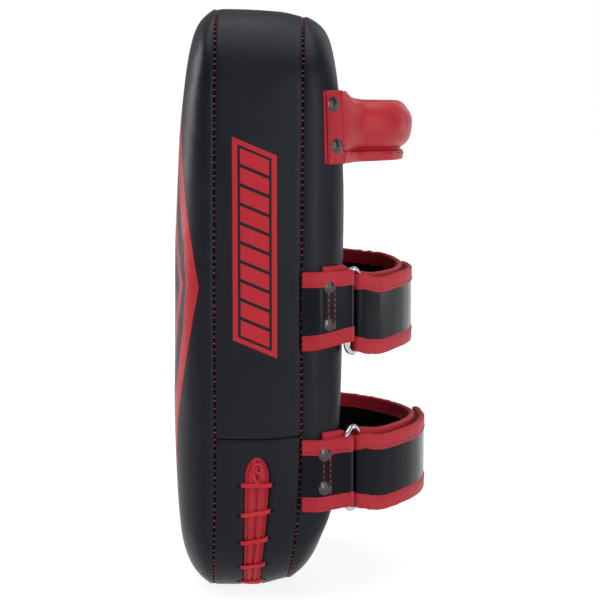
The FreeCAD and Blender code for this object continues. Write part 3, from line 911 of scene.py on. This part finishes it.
def chevron_stripes(g):
    """Red stripes down both sides of the striking face, pointing outwards at mid height."""
    x, _, z = g.axes()
    inset = g.math("SUBTRACT", HALF_WIDTH, g.math("ABSOLUTE", x))
    turned = g.math("MAXIMUM", g.math("SUBTRACT", 1.0, g.math("DIVIDE", inset, SIDE_ROUND)), 0.0)
    round_run = g.math("MULTIPLY", g.math("ARCCOSINE", turned), SIDE_ROUND)
    flat_run = g.math("MAXIMUM", g.math("SUBTRACT", inset, SIDE_ROUND), 0.0)
    run = g.math("ADD", round_run, flat_run)
    rise = g.math("ABSOLUTE", g.math("SUBTRACT", z, STRIPE_TIP_Z))
    tip = g.math("MULTIPLY", g.ramp(rise, 0.0, 0.03, 1.0, 0.0), 4 * MM)
    across = g.math("SUBTRACT", run, g.math("MULTIPLY", rise, 0.25))
    wide = g.between(g.math("SUBTRACT", across, tip), 6.4 * MM, 18.9 * MM)
    outer = g.math("MULTIPLY", wide, g.between(across, 10.4 * MM, 40 * MM))
    stripe = g.between(across, 26.5 * MM, 31 * MM)
    slanted = g.math("ADD", rise, g.math("MULTIPLY", run, 0.5))
    ends = g.ramp(slanted, STRIPE_END + 0.2 * MM, STRIPE_END)
    stripes = g.math("MULTIPLY", ends, g.math("MAXIMUM", outer, stripe))
    reach = g.math("ABSOLUTE", g.math("DIVIDE", x, 0.052))
    diamond = g.math("ADD", reach, g.math("DIVIDE", rise, 0.125))
    centre = g.between(diamond, 0.86, 1.0, 0.004)
    return g.math("MAXIMUM", stripes, centre)


def side_badge(g):
    """Red frame with slanted ends round a field of plain slanted bars, on both side bands."""
    x, y, z = g.axes()
    on_side = g.ramp(g.math("ABSOLUTE", x), 0.090, 0.091)
    from_left = g.math("SUBTRACT", y, BADGE_Y[0])
    along = g.math("ADD", z, g.math("MULTIPLY", from_left, BADGE_SLOPE))

    def outline(inset):
        sides = g.between(y, BADGE_Y[0] + inset, BADGE_Y[1] - inset)
        ends = g.between(along, BADGE_ALONG[0] + inset, BADGE_ALONG[1] - inset)
        return g.math("MULTIPLY", sides, ends)

    ring = g.math("SUBTRACT", outline(0.0), outline(3.4 * MM))
    within_bar = g.math("MODULO", g.math("SUBTRACT", along, BAR_START), BAR_PITCH)
    bars = g.between(within_bar, 0.1 * MM, BAR_LENGTH)
    field = g.math("MULTIPLY", outline(5.2 * MM), bars)
    return g.math("MULTIPLY", on_side, g.math("MAXIMUM", ring, field))


# ------------------------------------------------------------------ stage
LIGHTS = (
    ("near_strip", (1.6, 0.62, 0.4), 0.14, 1.5, 11.5),
    ("back_strip", (-0.5, 1.55, 0.4), 0.05, 1.5, 3.0),
    ("side_strip", (1.12, 1.28, 0.4), 0.07, 1.5, 4),
    ("key", (-0.55, -1.6, 0.55), 0.7, 1.6, 20),
    ("rim", (-1.3, 0.9, 0.9), 0.6, 1.2, 2),
)


def area_light(name, place, size_x, size_y, power):
    """Rectangular soft light that faces the middle of the pad."""
    data = bpy.data.lights.new(name, "AREA")
    data.shape = "RECTANGLE"
    data.size = size_x
    data.size_y = size_y
    data.energy = power
    light = bpy.data.objects.new(name, data)
    light.location = place
    direction = Vector((0, 0, HEIGHT / 2)) - Vector(place)
    light.rotation_euler = direction.to_track_quat("-Z", "Y").to_euler()
    bpy.context.scene.collection.objects.link(light)


def make_stage():
    """Pale floor, a white room and soft lights."""
    g = Graph("stage_floor")
    speck = g.noise(3, 2)
    paint = g.finish(g.mix(speck, (0.20, 0.20, 0.20, 1), (0.22, 0.22, 0.22, 1)), 0.9,
                     Specular_IOR_Level=0.1, Emission_Color=(1, 1, 1, 1), Emission_Strength=0.86)
    size = 12.0
    corners = [(-size, -size, 0), (size, -size, 0), (size, size, 0), (-size, size, 0)]
    floor = new_piece("stage_floor", corners, [(0, 1, 2, 3)], paint)
    world = bpy.data.worlds.new("studio")
    bpy.context.scene.world = world
    world.use_nodes = True
    tree = world.node_tree
    background = tree.nodes["Background"]
    background.inputs["Color"].default_value = (0.91, 0.95, 1.0, 1)
    background.inputs["Strength"].default_value = 0.35
    white = tree.nodes.new("ShaderNodeBackground")
    white.inputs["Color"].default_value = (1.0, 1.0, 1.0, 1)
    seen = tree.nodes.new("ShaderNodeLightPath")
    either = tree.nodes.new("ShaderNodeMixShader")
    tree.links.new(seen.outputs["Is Camera Ray"], either.inputs[0])
    tree.links.new(background.outputs[0], either.inputs[1])
    tree.links.new(white.outputs[0], either.inputs[2])
    tree.links.new(either.outputs[0], tree.nodes["World Output"].inputs[0])
    sun = bpy.data.lights.new("overhead", "SUN")
    sun.energy = 2.3
    sun.angle = math.radians(70)
    overhead = bpy.data.objects.new("overhead", sun)
    bpy.context.scene.collection.objects.link(overhead)
    for light in LIGHTS:
        area_light(*light)


def make_camera():
    """Camera at the grip's height, looking at the side of the pad and a little down."""
    data = bpy.data.cameras.new("camera")
    data.lens = 100.45
    data.sensor_width = 36.0
    data.clip_start = 0.05
    camera = bpy.data.objects.new("camera", data)
    camera.location = (1.2, 0.028, 0.34)
    tilt = math.radians(6.885)
    camera.rotation_euler = (math.pi / 2 - tilt, 0, math.pi / 2)
    bpy.context.scene.collection.objects.link(camera)
    bpy.context.scene.camera = camera


# ------------------------------------------------------------------ pieces
def rooted(piece, node_names):
    """Make a piece ride the pad and hide the CAD nodes it stands for."""
    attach(piece, "root")
    finished(node_names)


def finished(node_names):
    """Hide the CAD nodes that a piece stands for."""
    if node_names:
        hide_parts(*node_names)


def pad_body(m):
    """Striking face, back, the two side bands and the foam inside."""
    seam = side_run(PANEL_SEAM_Z)
    leathers = (
        (stuffed_face("striking_face", FRONT_CROWN, m["front"]), "front_panel", 0.95),
        (stuffed_face("back_face", BACK_CROWN, m["back"]), "back_panel", 0.95),
        (band_strip("side_band", seam, OUTLINE_RUN - seam, m["side"]), "side_gusset", 0.9),
        (band_strip("base_band", -seam, seam, m["back"], slot=True), "base_gusset", 0.9),
    )
    for piece, node, fill in leathers:
        rooted(piece, [node])
    foams = (
        (foam_face("foam_under_strike", FRONT_CROWN, m["foam"]), "foam_strike_layer"),
        (foam_face("foam_under_back", BACK_CROWN, m["foam"]), "foam_back_layer"),
        (foam_middle("foam_block", m["foam"]), "foam_middle_layer"),
    )
    for piece, node in foams:
        rooted(piece, [node])
    for name, y in (("front_seam_thread", FRONT_SEAM_Y), ("back_seam_thread", BACK_SEAM_Y)):
        rooted(seam_threads(name, y, m["seam_thread"]), [])


def lacing(m):
    """Slot bindings, lace and its holes."""
    rooted(slot_bindings("slot_bindings", m["red"]), ["slot_binding"])
    places = []
    run = -slot_end() + 6 * MM
    while run < slot_end() - 6 * MM:
        for side in (-1, 1):
            across = side * (slot_half(run) - 2.0 * MM)
            if from_lace(run) > LACE_PRESS:
                rise = pressed_flat(binding_rise(run, across), off_floor(run))
                ahead = on_band(run + MM, across) - on_band(run - MM, across)
                place = on_band(run, slot_middle(run) + across, rise)
                places.append((place, ahead, band_normal(run)))
        run += 3.1 * MM
    thread_piece = beads("slot_thread", places, 1.9 * MM, 0.3 * MM, m["dark_thread"])
    rooted(thread_piece, [])
    rooted(lace("lace_run", m["lace"]), ["lace"])
    for side, place in ((1, "near"), (-1, "far")):
        rooted(lace_knot("lace_knot_" + place, side, m["lace"]), [])
    rooted(lace_holes("lace_holes", m["hole"]), [])


# ------------------------------------------------------------------ straps
NEAR_RIM = Vector((73 * MM, 32 * MM))     # middle of the back's rounded near edge, in plan
FAR_RIM = Vector((-73 * MM, 32 * MM))
SKIN_R = 27.05 * MM       # from there to the outside of the back's leather
INNER_BAR = Vector((90.456 * MM, 58.879 * MM))    # a ring's two bars, in plan
OUTER_BAR = Vector((77.037 * MM, 67.594 * MM))
LAYER = 3.65 * MM         # from a bar's middle to the middle of the leather round it
LIFT_ANGLE = 25.0         # where the tabs leave the rim, in degrees
STRAP_WIDTH = 51 * MM
FLAP_END_X = -32 * MM
STRAPS = (
    {"name": "upper", "ring_z": 198 * MM, "loop_z": 194 * MM, "fold_half": 25.2 * MM,
     "tab_from": (199.4 * MM, 25.5 * MM), "tab_to": (202.7 * MM, 23.2 * MM),
     "tab_back": (204.8 * MM, 23.5 * MM), "rivet_z": 203.6 * MM, "rivet_angle": 30.5,
     "near_lift": 1.0 * MM, "far_lift": 3.5 * MM, "sag": 1.6 * MM,
     "centre": Vector((-4.569 * MM, -8.433 * MM)), "radius": 107.883 * MM,
     "landing": 149.423, "bar_angle": 42.973},
    {"name": "lower", "ring_z": 90.5 * MM, "loop_z": 85 * MM, "fold_half": 24.0 * MM,
     "tab_from": (88.5 * MM, 23.6 * MM), "tab_to": (90.0 * MM, 23.3 * MM),
     "tab_back": (94.2 * MM, 22.8 * MM), "rivet_z": 92.1 * MM, "rivet_angle": 24.0,
     "near_lift": 2.5 * MM, "far_lift": -2.7 * MM, "sag": 1.2 * MM,
     "centre": Vector((-7.223 * MM, 12.560 * MM)), "radius": 96.990 * MM,
     "landing": 163.536, "bar_angle": 33.150},
)


def polar(centre, radius, angle):
    """Point at a distance and angle, in degrees, from a centre in plan."""
    return Vector((centre[0] + radius * math.cos(math.radians(angle)),
                   centre[1] + radius * math.sin(math.radians(angle))))


def strap_tab(strap, m):
    """Tab from the back seam over the rim, round the ring's inner bar and back under itself."""
    name = strap["name"]
    path = Path()
    path.arc(NEAR_RIM, (SKIN_R + STRAP_THICK / 2 - 0.4 * MM, SKIN_R + LAYER), -5, LIFT_ANGLE)
    path.line(polar(INNER_BAR, LAYER, LIFT_ANGLE))
    fold_from = path.frames()[-1][3]
    path.arc(INNER_BAR, LAYER, LIFT_ANGLE, 237, step=0.6 * MM)
    fold_to = path.frames()[-1][3]
    path.arc(NEAR_RIM, SKIN_R + STRAP_THICK / 2, 57, 22)
    fold_middle = fold_from + (fold_to - fold_from) * 0.56

    def blended(index, distance):
        """Height (0) or half width (1) of the tab, from the seam to the ring and back."""
        along = smoothstep(0, fold_middle, distance)
        back = smoothstep(fold_to - 7 * MM, fold_to + 1 * MM, distance)
        first, last, returned = (strap[key][index] for key in ("tab_from", "tab_to", "tab_back"))
        there = first + (last - first) * along
        return there + (returned - there) * back

    def crumpled(distance):
        return 0.9 * bell(distance - fold_middle, 9 * MM)

    strip = Strip(path, lambda d: blended(0, d), lambda d: blended(1, d))
    core = strip.core(name + "_tab_leather", m["strap"])
    rooted(core, [name + "_tab"])
    edges = strip.bindings(name + "_tab_edges", crumpled, m["red"])
    rooted(edges, [name + "_tab_binding"])
    edge_thread = strip.edge_thread(name + "_tab_edge_thread", 1.5 * MM, fold_from,
                                    m["dark_thread"], faces=(-1,))
    rooted(edge_thread, [])
    rows = []    # two upright rows of thread, one on either side of the rivets
    for turn in (-4.5, 4.5):
        for origin, side, _, _ in strip.places:
            from_rim = math.degrees(math.atan2(origin.y - NEAR_RIM.y, origin.x - NEAR_RIM.x))
            if from_rim >= strap["rivet_angle"] + turn:
                break
        outside = origin - side * (STRAP_THICK * 0.6)
        for step in range(-4, 4):
            place = Vector((outside.x, outside.y, strap["rivet_z"] + step * 3.7 * MM))
            rows.append((place, Vector((0, 0.06, 1)), -side))
    riveted = beads(name + "_tab_thread", rows, 3.0 * MM, 0.42 * MM, m["thread"])
    rooted(riveted, [])


def strap_loop(strap, m):
    """Strap from the far rim over the forearm's room, round the outer bar and back on itself."""
    name = strap["name"]
    centre, radius, bar_angle = strap["centre"], strap["radius"], strap["bar_angle"]
    outer_r = radius + 2 * LAYER
    shift = strap["ring_z"] - strap["loop_z"]

    def width_at(from_bar):
        gathered = bell(from_bar, 6 * MM)
        return STRAP_WIDTH / 2 + (strap["fold_half"] - STRAP_WIDTH / 2) * gathered

    def base_height(from_bar):
        height = strap["loop_z"] + shift * bell(from_bar, 14 * MM)
        near = strap["near_lift"] * smoothstep(0, 16 * MM, from_bar)
        return height + near + strap["far_lift"] * smoothstep(60 * MM, 150 * MM, from_bar)

    def flap_height(from_bar):
        folded = 0.55 * shift * bell(from_bar, 16 * MM)
        return strap["loop_z"] + folded - strap["sag"] * bell(from_bar - 24 * MM, 18 * MM)

    fold_length = math.pi * LAYER
    base_path = Path().arc(FAR_RIM, SKIN_R + STRAP_THICK / 2, 184, strap["landing"])
    base_path.arc(centre, radius, strap["landing"], bar_angle)
    base_length = base_path.frames()[-1][3]
    base = Strip(base_path, lambda d: base_height(base_length - d + fold_length / 2),
                 lambda d: width_at(base_length - d + fold_length / 2), sway=0.5 * MM)

    end_angle = math.degrees(math.acos((FLAP_END_X - centre.x) / outer_r))
    flap_path = Path().arc(OUTER_BAR, LAYER, bar_angle - 180, bar_angle, step=0.6 * MM)
    flap_path.arc(centre, outer_r, bar_angle, end_angle)
    flap = Strip(flap_path, lambda d: flap_height(d - fold_length / 2),
                 lambda d: width_at(d - fold_length / 2), sway=0.5 * MM)

    def crumpled_base(distance):
        return 0.8 * bell(distance - 62 * MM, 16 * MM) + 0.8 * bell(base_length - distance, 9 * MM)

    def crumpled_flap(distance):
        return 1.1 * bell(distance - fold_length * 1.3, 12 * MM)

    red, dark = m["red"], m["dark_thread"]
    base_pieces = [
        (base.core(name + "_strap_leather", m["strap"]), [name + "_strap"], "black_leather"),
        (base.bindings(name + "_strap_edges", crumpled_base, red), [name + "_strap_binding"],
         "red_leather"),
        (base.edge_thread(name + "_strap_thread", 2 * MM, base_length - 6 * MM, dark), [],
         "red_leather"),
    ]
    flap_pieces = [
        (flap.core(name + "_flap_leather", m["strap"]), [name + "_strap_fold", name + "_flap"],
         "black_leather"),
        (flap.bindings(name + "_flap_edges", crumpled_flap, red), [name + "_flap_binding"],
         "red_leather"),
        (flap.edge_thread(name + "_flap_thread", fold_length + 2 * MM, flap.length - 8 * MM, dark,
                          faces=(-1,)), [], "red_leather"),
        (flap_end(name + "_flap_end", flap, red), [], "red_leather"),
    ]
    for piece, nodes, slot_name in base_pieces:
        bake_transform(piece)
        finished(nodes)
    for piece, nodes, slot_name in flap_pieces:
        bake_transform(piece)
        finished(nodes)


def flap_end(name, strip, material):
    """Binding across the loose end of the flap."""
    point, ahead, left, distance = strip.frames[-1]
    side = Vector((left.x, left.y, 0))
    forward = Vector((ahead.x, ahead.y, 0))
    half = strip.half(distance)
    section = rounded_section(STRAP_THICK / 2 + 0.75 * MM, BINDING_WIDTH / 2, 0.9 * MM)
    stations = []
    for k in range(25):
        share = k / 24 * 2 - 1
        bow = 0.3 * MM * waves(share, distance, 2.2, 0.4)
        origin = Vector((point.x, point.y, strip.middle(distance) + share * (half + 0.5 * MM)))
        origin -= forward * (BINDING_WIDTH / 2 - 1 * MM - bow)
        stations.append((origin, side, forward, 1.0, 1.0))
    return swept(name, stations, section, material)


# ------------------------------------------------------------------ grip
GRIP_Z = 321.8 * MM
GRIP_Y = 93 * MM
GRIP_LEG_X = 58 * MM
GRIP_BEND_R = 22 * MM
GRIP_HALF_HEIGHT = 16.8 * MM
GRIP_HALF_THICK = 12.5 * MM
GRIP_TAB_Z = 320.8 * MM
GRIP_TAB_HALF = 24.2 * MM
GRIP_TAB_END = 57.0       # where the tab ends round the rim, in degrees
FLANGE_THICK = 3.3 * MM
GRIP_SEAM_DROP = 19.2 * MM    # the thread of the flange runs this far under the roll's middle


def grip_path():
    """From the far tab, along the grip and back to the near tab."""
    inner_x = GRIP_LEG_X - GRIP_BEND_R
    bend_y = GRIP_Y - GRIP_BEND_R
    foot_y = BACK_HIGH.y + 1.2 * MM
    path = Path()
    path.points.append(Vector((GRIP_LEG_X, foot_y)))
    path.line((GRIP_LEG_X, bend_y), step=1.0 * MM)
    path.arc((inner_x, bend_y), GRIP_BEND_R, 0, 90, step=1.5 * MM)
    path.line((-inner_x, GRIP_Y), step=2.5 * MM)
    path.arc((-inner_x, bend_y), GRIP_BEND_R, 90, 180, step=1.5 * MM)
    path.line((-GRIP_LEG_X, foot_y), step=1.0 * MM)
    return path


def grip_frames():
    """(point, direction, outward, distance, distance from the nearer foot) along the grip."""
    frames = grip_path().frames()
    total = frames[-1][3]
    return [(point, ahead, Vector((-left.x, -left.y, 0)), distance, min(distance, total - distance))
            for point, ahead, left, distance in frames]


def flange_shift(from_foot):
    """How far outwards the flange stands under the roll, at a distance from a foot."""
    return 3.2 * MM * smoothstep(0, 20 * MM, from_foot)


def foot_flare(from_foot):
    """How far the leather spreads over the rim: 1 at a foot of the grip, 0 along the roll."""
    return math.exp(-((from_foot / (6.5 * MM)) ** 1.05))


def roll_section(from_foot):
    """Section of the roll and its flange as (outwards, up, softness), at a distance from a foot."""
    flare = foot_flare(from_foot)
    shift = flange_shift(from_foot)
    drop = (7.5 * MM + 1.9 * MM * fading(from_foot, 12 * MM)) / 9.9
    section = []
    for k in range(37):
        turn = math.radians(-166 + 332 * k / 36)
        wide = math.sin(turn)
        high = math.cos(turn)
        high = math.copysign(abs(high) ** (1 - 0.75 * flare), high)
        if wide > 0:
            wide = wide ** (1 - 0.7 * flare) * (1 + 1.9 * flare)
        if high > 0:
            high *= 1 + 0.22 * fading(from_foot, 4.5 * MM)
        section.append((GRIP_HALF_THICK * wide, GRIP_HALF_HEIGHT * high, 1.0))
    half = [(2.9, -0.9), (3.3, -1.9), (3.2, -4.5), (3.2, -8.2), (2.6, -9.4)]
    for a, b in half + [(0, -9.9)] + [(-a, b) for a, b in reversed(half)]:
        spread = 1 + 7 * flare if a > 0 else 1
        section.append((a * MM * spread + shift, -GRIP_HALF_HEIGHT + 0.3 * MM + b * drop, 0.2))
    return section


def over_rim(spot):
    """Let a point past the rim's middle follow the rim round; also how far past it is."""
    past = min(max(abs(spot.x) - NEAR_RIM.x, 0), 22 * MM)
    spot.y -= SKIN_R - math.sqrt(SKIN_R ** 2 - past ** 2)
    return past


def grip_roll(name, material):
    """Padded roll with the flange sewn under it; its feet spread over the rim, under the tabs."""
    frames = grip_frames()
    verts = []
    for point, _, out, distance, from_foot in frames:
        section = roll_section(from_foot)
        for a, b, soft in section:
            spot = Vector((point.x, point.y, GRIP_Z)) + out * a
            loose = 1 - smoothstep(2 * MM, 11 * MM, over_rim(spot))
            if b > 0:
                b *= 1 + 0.13 * (1 - loose)
            puff = soft * 0.55 * MM * waves(distance, a * 3, b * 3, 22 * MM)
            crease = soft * 1.0 * MM * fading(from_foot, 7 * MM)
            wrinkle = crease * waves(distance * 0.4, a, b * 2.2, 5 * MM)
            spot += out * (puff + wrinkle) * loose * (1 if a > 0 else -1)
            verts.append(spot + Vector((0, 0, b + 0.3 * MM * waves(distance, b, 4.4, 12 * MM))))
    columns = len(section)
    faces = grid_faces(len(frames), columns, closed=True)
    faces.append(tuple(range(columns)))
    faces.append(tuple(range(len(verts) - 1, len(verts) - columns - 1, -1)))
    return smoothed(new_piece(name, verts, faces, material))


def grip_stitches():
    """Places of the thread along both faces of the flange."""
    places = []
    target = 2 * MM
    for point, ahead, out, distance, from_foot in grip_frames():
        if distance < target or from_foot < 2 * MM:
            continue
        target += 3.6 * MM
        for face in (1, -1):
            spread = 1 + 7 * foot_flare(from_foot) if face > 0 else 1
            centre = Vector((point.x, point.y, GRIP_Z - GRIP_SEAM_DROP))
            centre += out * (flange_shift(from_foot) + face * (FLANGE_THICK * spread + 0.05 * MM))
            over_rim(centre)
            places.append((centre, Vector((ahead.x, ahead.y, 0)), out * face))
    return places


def leaned(spot, side):
    """Turn a point of a tab round its rim: the tab's foot lies a little nearer the grip."""
    x = abs(spot.x) - NEAR_RIM.x
    y = spot.y - NEAR_RIM.y
    angle = math.degrees(math.atan2(y, x))
    angle += (0.11 * angle - 1.5) * (GRIP_TAB_Z - spot.z) / GRIP_TAB_HALF
    turned = polar(NEAR_RIM, math.hypot(x, y), angle)
    return Vector((turned.x * side, turned.y, spot.z))


def grip_tab(name, side, material):
    """Two layers of leather round the rim, over one foot of the grip."""
    pieces = []
    section = [(0.65 * MM * a, b) for a, b in ((1, -1), (1.1, -0.5), (1.1, 0), (1.1, 0.5), (1, 1),
                                               (-1, 1), (-1, 0.5), (-1, 0), (-1, -0.5), (-1, -1))]
    for layer, start in ((0, 25.0), (1, 28.5)):
        lifted = SKIN_R + (0.65 + 2.0 * layer) * MM
        pressed = SKIN_R + (0.6 + 1.15 * layer) * MM
        path = Path().arc(NEAR_RIM, (lifted, pressed), start, start + 9, step=0.8 * MM)
        end_reach = pressed + 0.35 * MM * layer
        path.arc(NEAR_RIM, (pressed, end_reach), start + 9, GRIP_TAB_END, step=1.0 * MM)
        high = GRIP_TAB_HALF - 0.5 * MM * (1 - layer)
        stations = []
        for point, _, left, distance in path.frames():
            out = Vector((left.x * side, left.y, 0))
            drift = 0.25 * MM * waves(distance, layer, 0.9, 9 * MM)
            origin = Vector((point.x * side, point.y, GRIP_TAB_Z)) + out * drift
            stations.append((origin, out, UP, 1.0, high))
        piece = swept(f"{name}_{layer}", stations, section, material)
        for vertex in piece.data.vertices:
            vertex.co = leaned(vertex.co, side)
        pieces.append(piece)
    return joined(name, pieces)


def grip(m):
    """Roll, tabs and thread of the grip."""
    roll = grip_roll("grip_roll", m["grip"])
    thread_piece = beads("grip_thread", grip_stitches(), 2.3 * MM, 0.3 * MM, m["dark_thread"])
    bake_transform(roll)
    finished(["handle_cover"])
    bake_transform(thread_piece)
    finished([])
    for side, node in ((1, "handle_tab_near"), (-1, "handle_tab_far")):
        rooted(grip_tab(node + "_leather", side, m["red"]), [node])
        rows = []
        for angle, low, high in ((31.5, -18, 21), (GRIP_TAB_END - 2.5, -22, 22)):
            z = low
            while z < high:
                direction = polar((0, 0), 1, angle)
                spot = polar(NEAR_RIM, SKIN_R + (3.3 if angle < 40 else 2.75) * MM, angle)
                place = leaned(Vector((spot.x, spot.y, GRIP_TAB_Z + z * MM)), side)
                rows.append((place, UP, Vector((direction.x * side, direction.y, 0))))
                z += 3.3
        thread_piece = beads(node + "_thread", rows, 2.2 * MM, 0.3 * MM, m["dark_thread"])
        rooted(thread_piece, [])


def carried_over(m):
    """Materials of the CAD nodes that stay."""
    kept = [("handle_rivets", "rivet"), ("handle_core", "foam"), ("handle_backing", "backing"),
            ("slot_tongue", "backing")]
    for strap in STRAPS:
        kept += [(strap["name"] + part, finish) for part, finish in (
            ("_ring", "chrome"), ("_tab_rivets", "rivet"), ("_far_rivets", "rivet"),
            ("_loop_patch", "tape"), ("_hook_patch", "tape"))]
    for node, finish in kept:
        for slot in bpy.data.objects[node].material_slots:
            slot.material = m[finish]


def make_materials():
    """All the finishes, by short name."""
    return {
        "front": leather("leather_front", BLACK, BLACK_WORN, 0.36, 900, chevron_stripes),
        "side": leather("leather_side", BLACK, BLACK_WORN, 0.42, 900, side_badge),
        "back": leather("leather_back", BLACK, BLACK_WORN, 0.40, 900),
        "strap": leather("leather_strap", rgb(9, 10, 16), BLACK, 0.19, 1100,
                         grain_depth=0.03 * MM, shine=0.1),
        "red": leather("leather_red", rgb(153, 28, 38), rgb(162, 39, 49), 0.5, 1000),
        "grip": leather("leather_grip", GRIP_RED, RED, 0.34, 900, shine=0.3),
        "lace": leather("leather_lace", RED, RED_LIGHT, 0.55, 1200),
        "backing": leather("leather_backing", rgb(60, 52, 46), rgb(84, 74, 66), 0.7, 700),
        "seam_thread": thread("thread_seam", rgb(150, 34, 52), rgb(84, 16, 28)),
        "thread": thread("thread_red", rgb(176, 30, 44), rgb(120, 18, 30)),
        "dark_thread": thread("thread_dark", rgb(104, 16, 26), rgb(70, 10, 18)),
        # the punched holes' near-black finish is painted shade
        "hole": grained("punched_hole", lambda g: g.noise(900, 4, 0.7), HOLE_SHADE_TONES, (0.0, 1.0),
                        (0.3, 0.7), (0.8, 0.95), (0.2 * MM, 0.6), Specular_IOR_Level=0.15),
        "chrome": metal("ring_chrome", ((0.52, 0.53, 0.55, 1), (0.34, 0.35, 0.37, 1)), 0.14),
        "rivet": metal("rivet_gunmetal", ((0.075, 0.072, 0.07, 1), (0.045, 0.042, 0.04, 1)), 0.24),
        "foam": grained("inner_foam_cells", lambda g: g.cells(700), FOAM_TONES, (0.0, 0.3),
                        (0.0, 0.3), (0.95, 0.85), (0.4 * MM, 0.7)),
        "tape": grained("hook_tape_pile", lambda g: g.noise(1500, 6, 0.8), PILE_TONES, (0.35, 0.7),
                        (0.3, 0.7), (0.75, 0.95), (0.6 * MM, 0.8), Sheen_Weight=0.3),
    }


bpy.context.scene.view_settings.view_transform = "Standard"
make_camera()
make_stage()
finishes = make_materials()
pad_body(finishes)
lacing(finishes)
for one_strap in STRAPS:
    strap_tab(one_strap, finishes)
    strap_loop(one_strap, finishes)
grip(finishes)
carried_over(finishes)
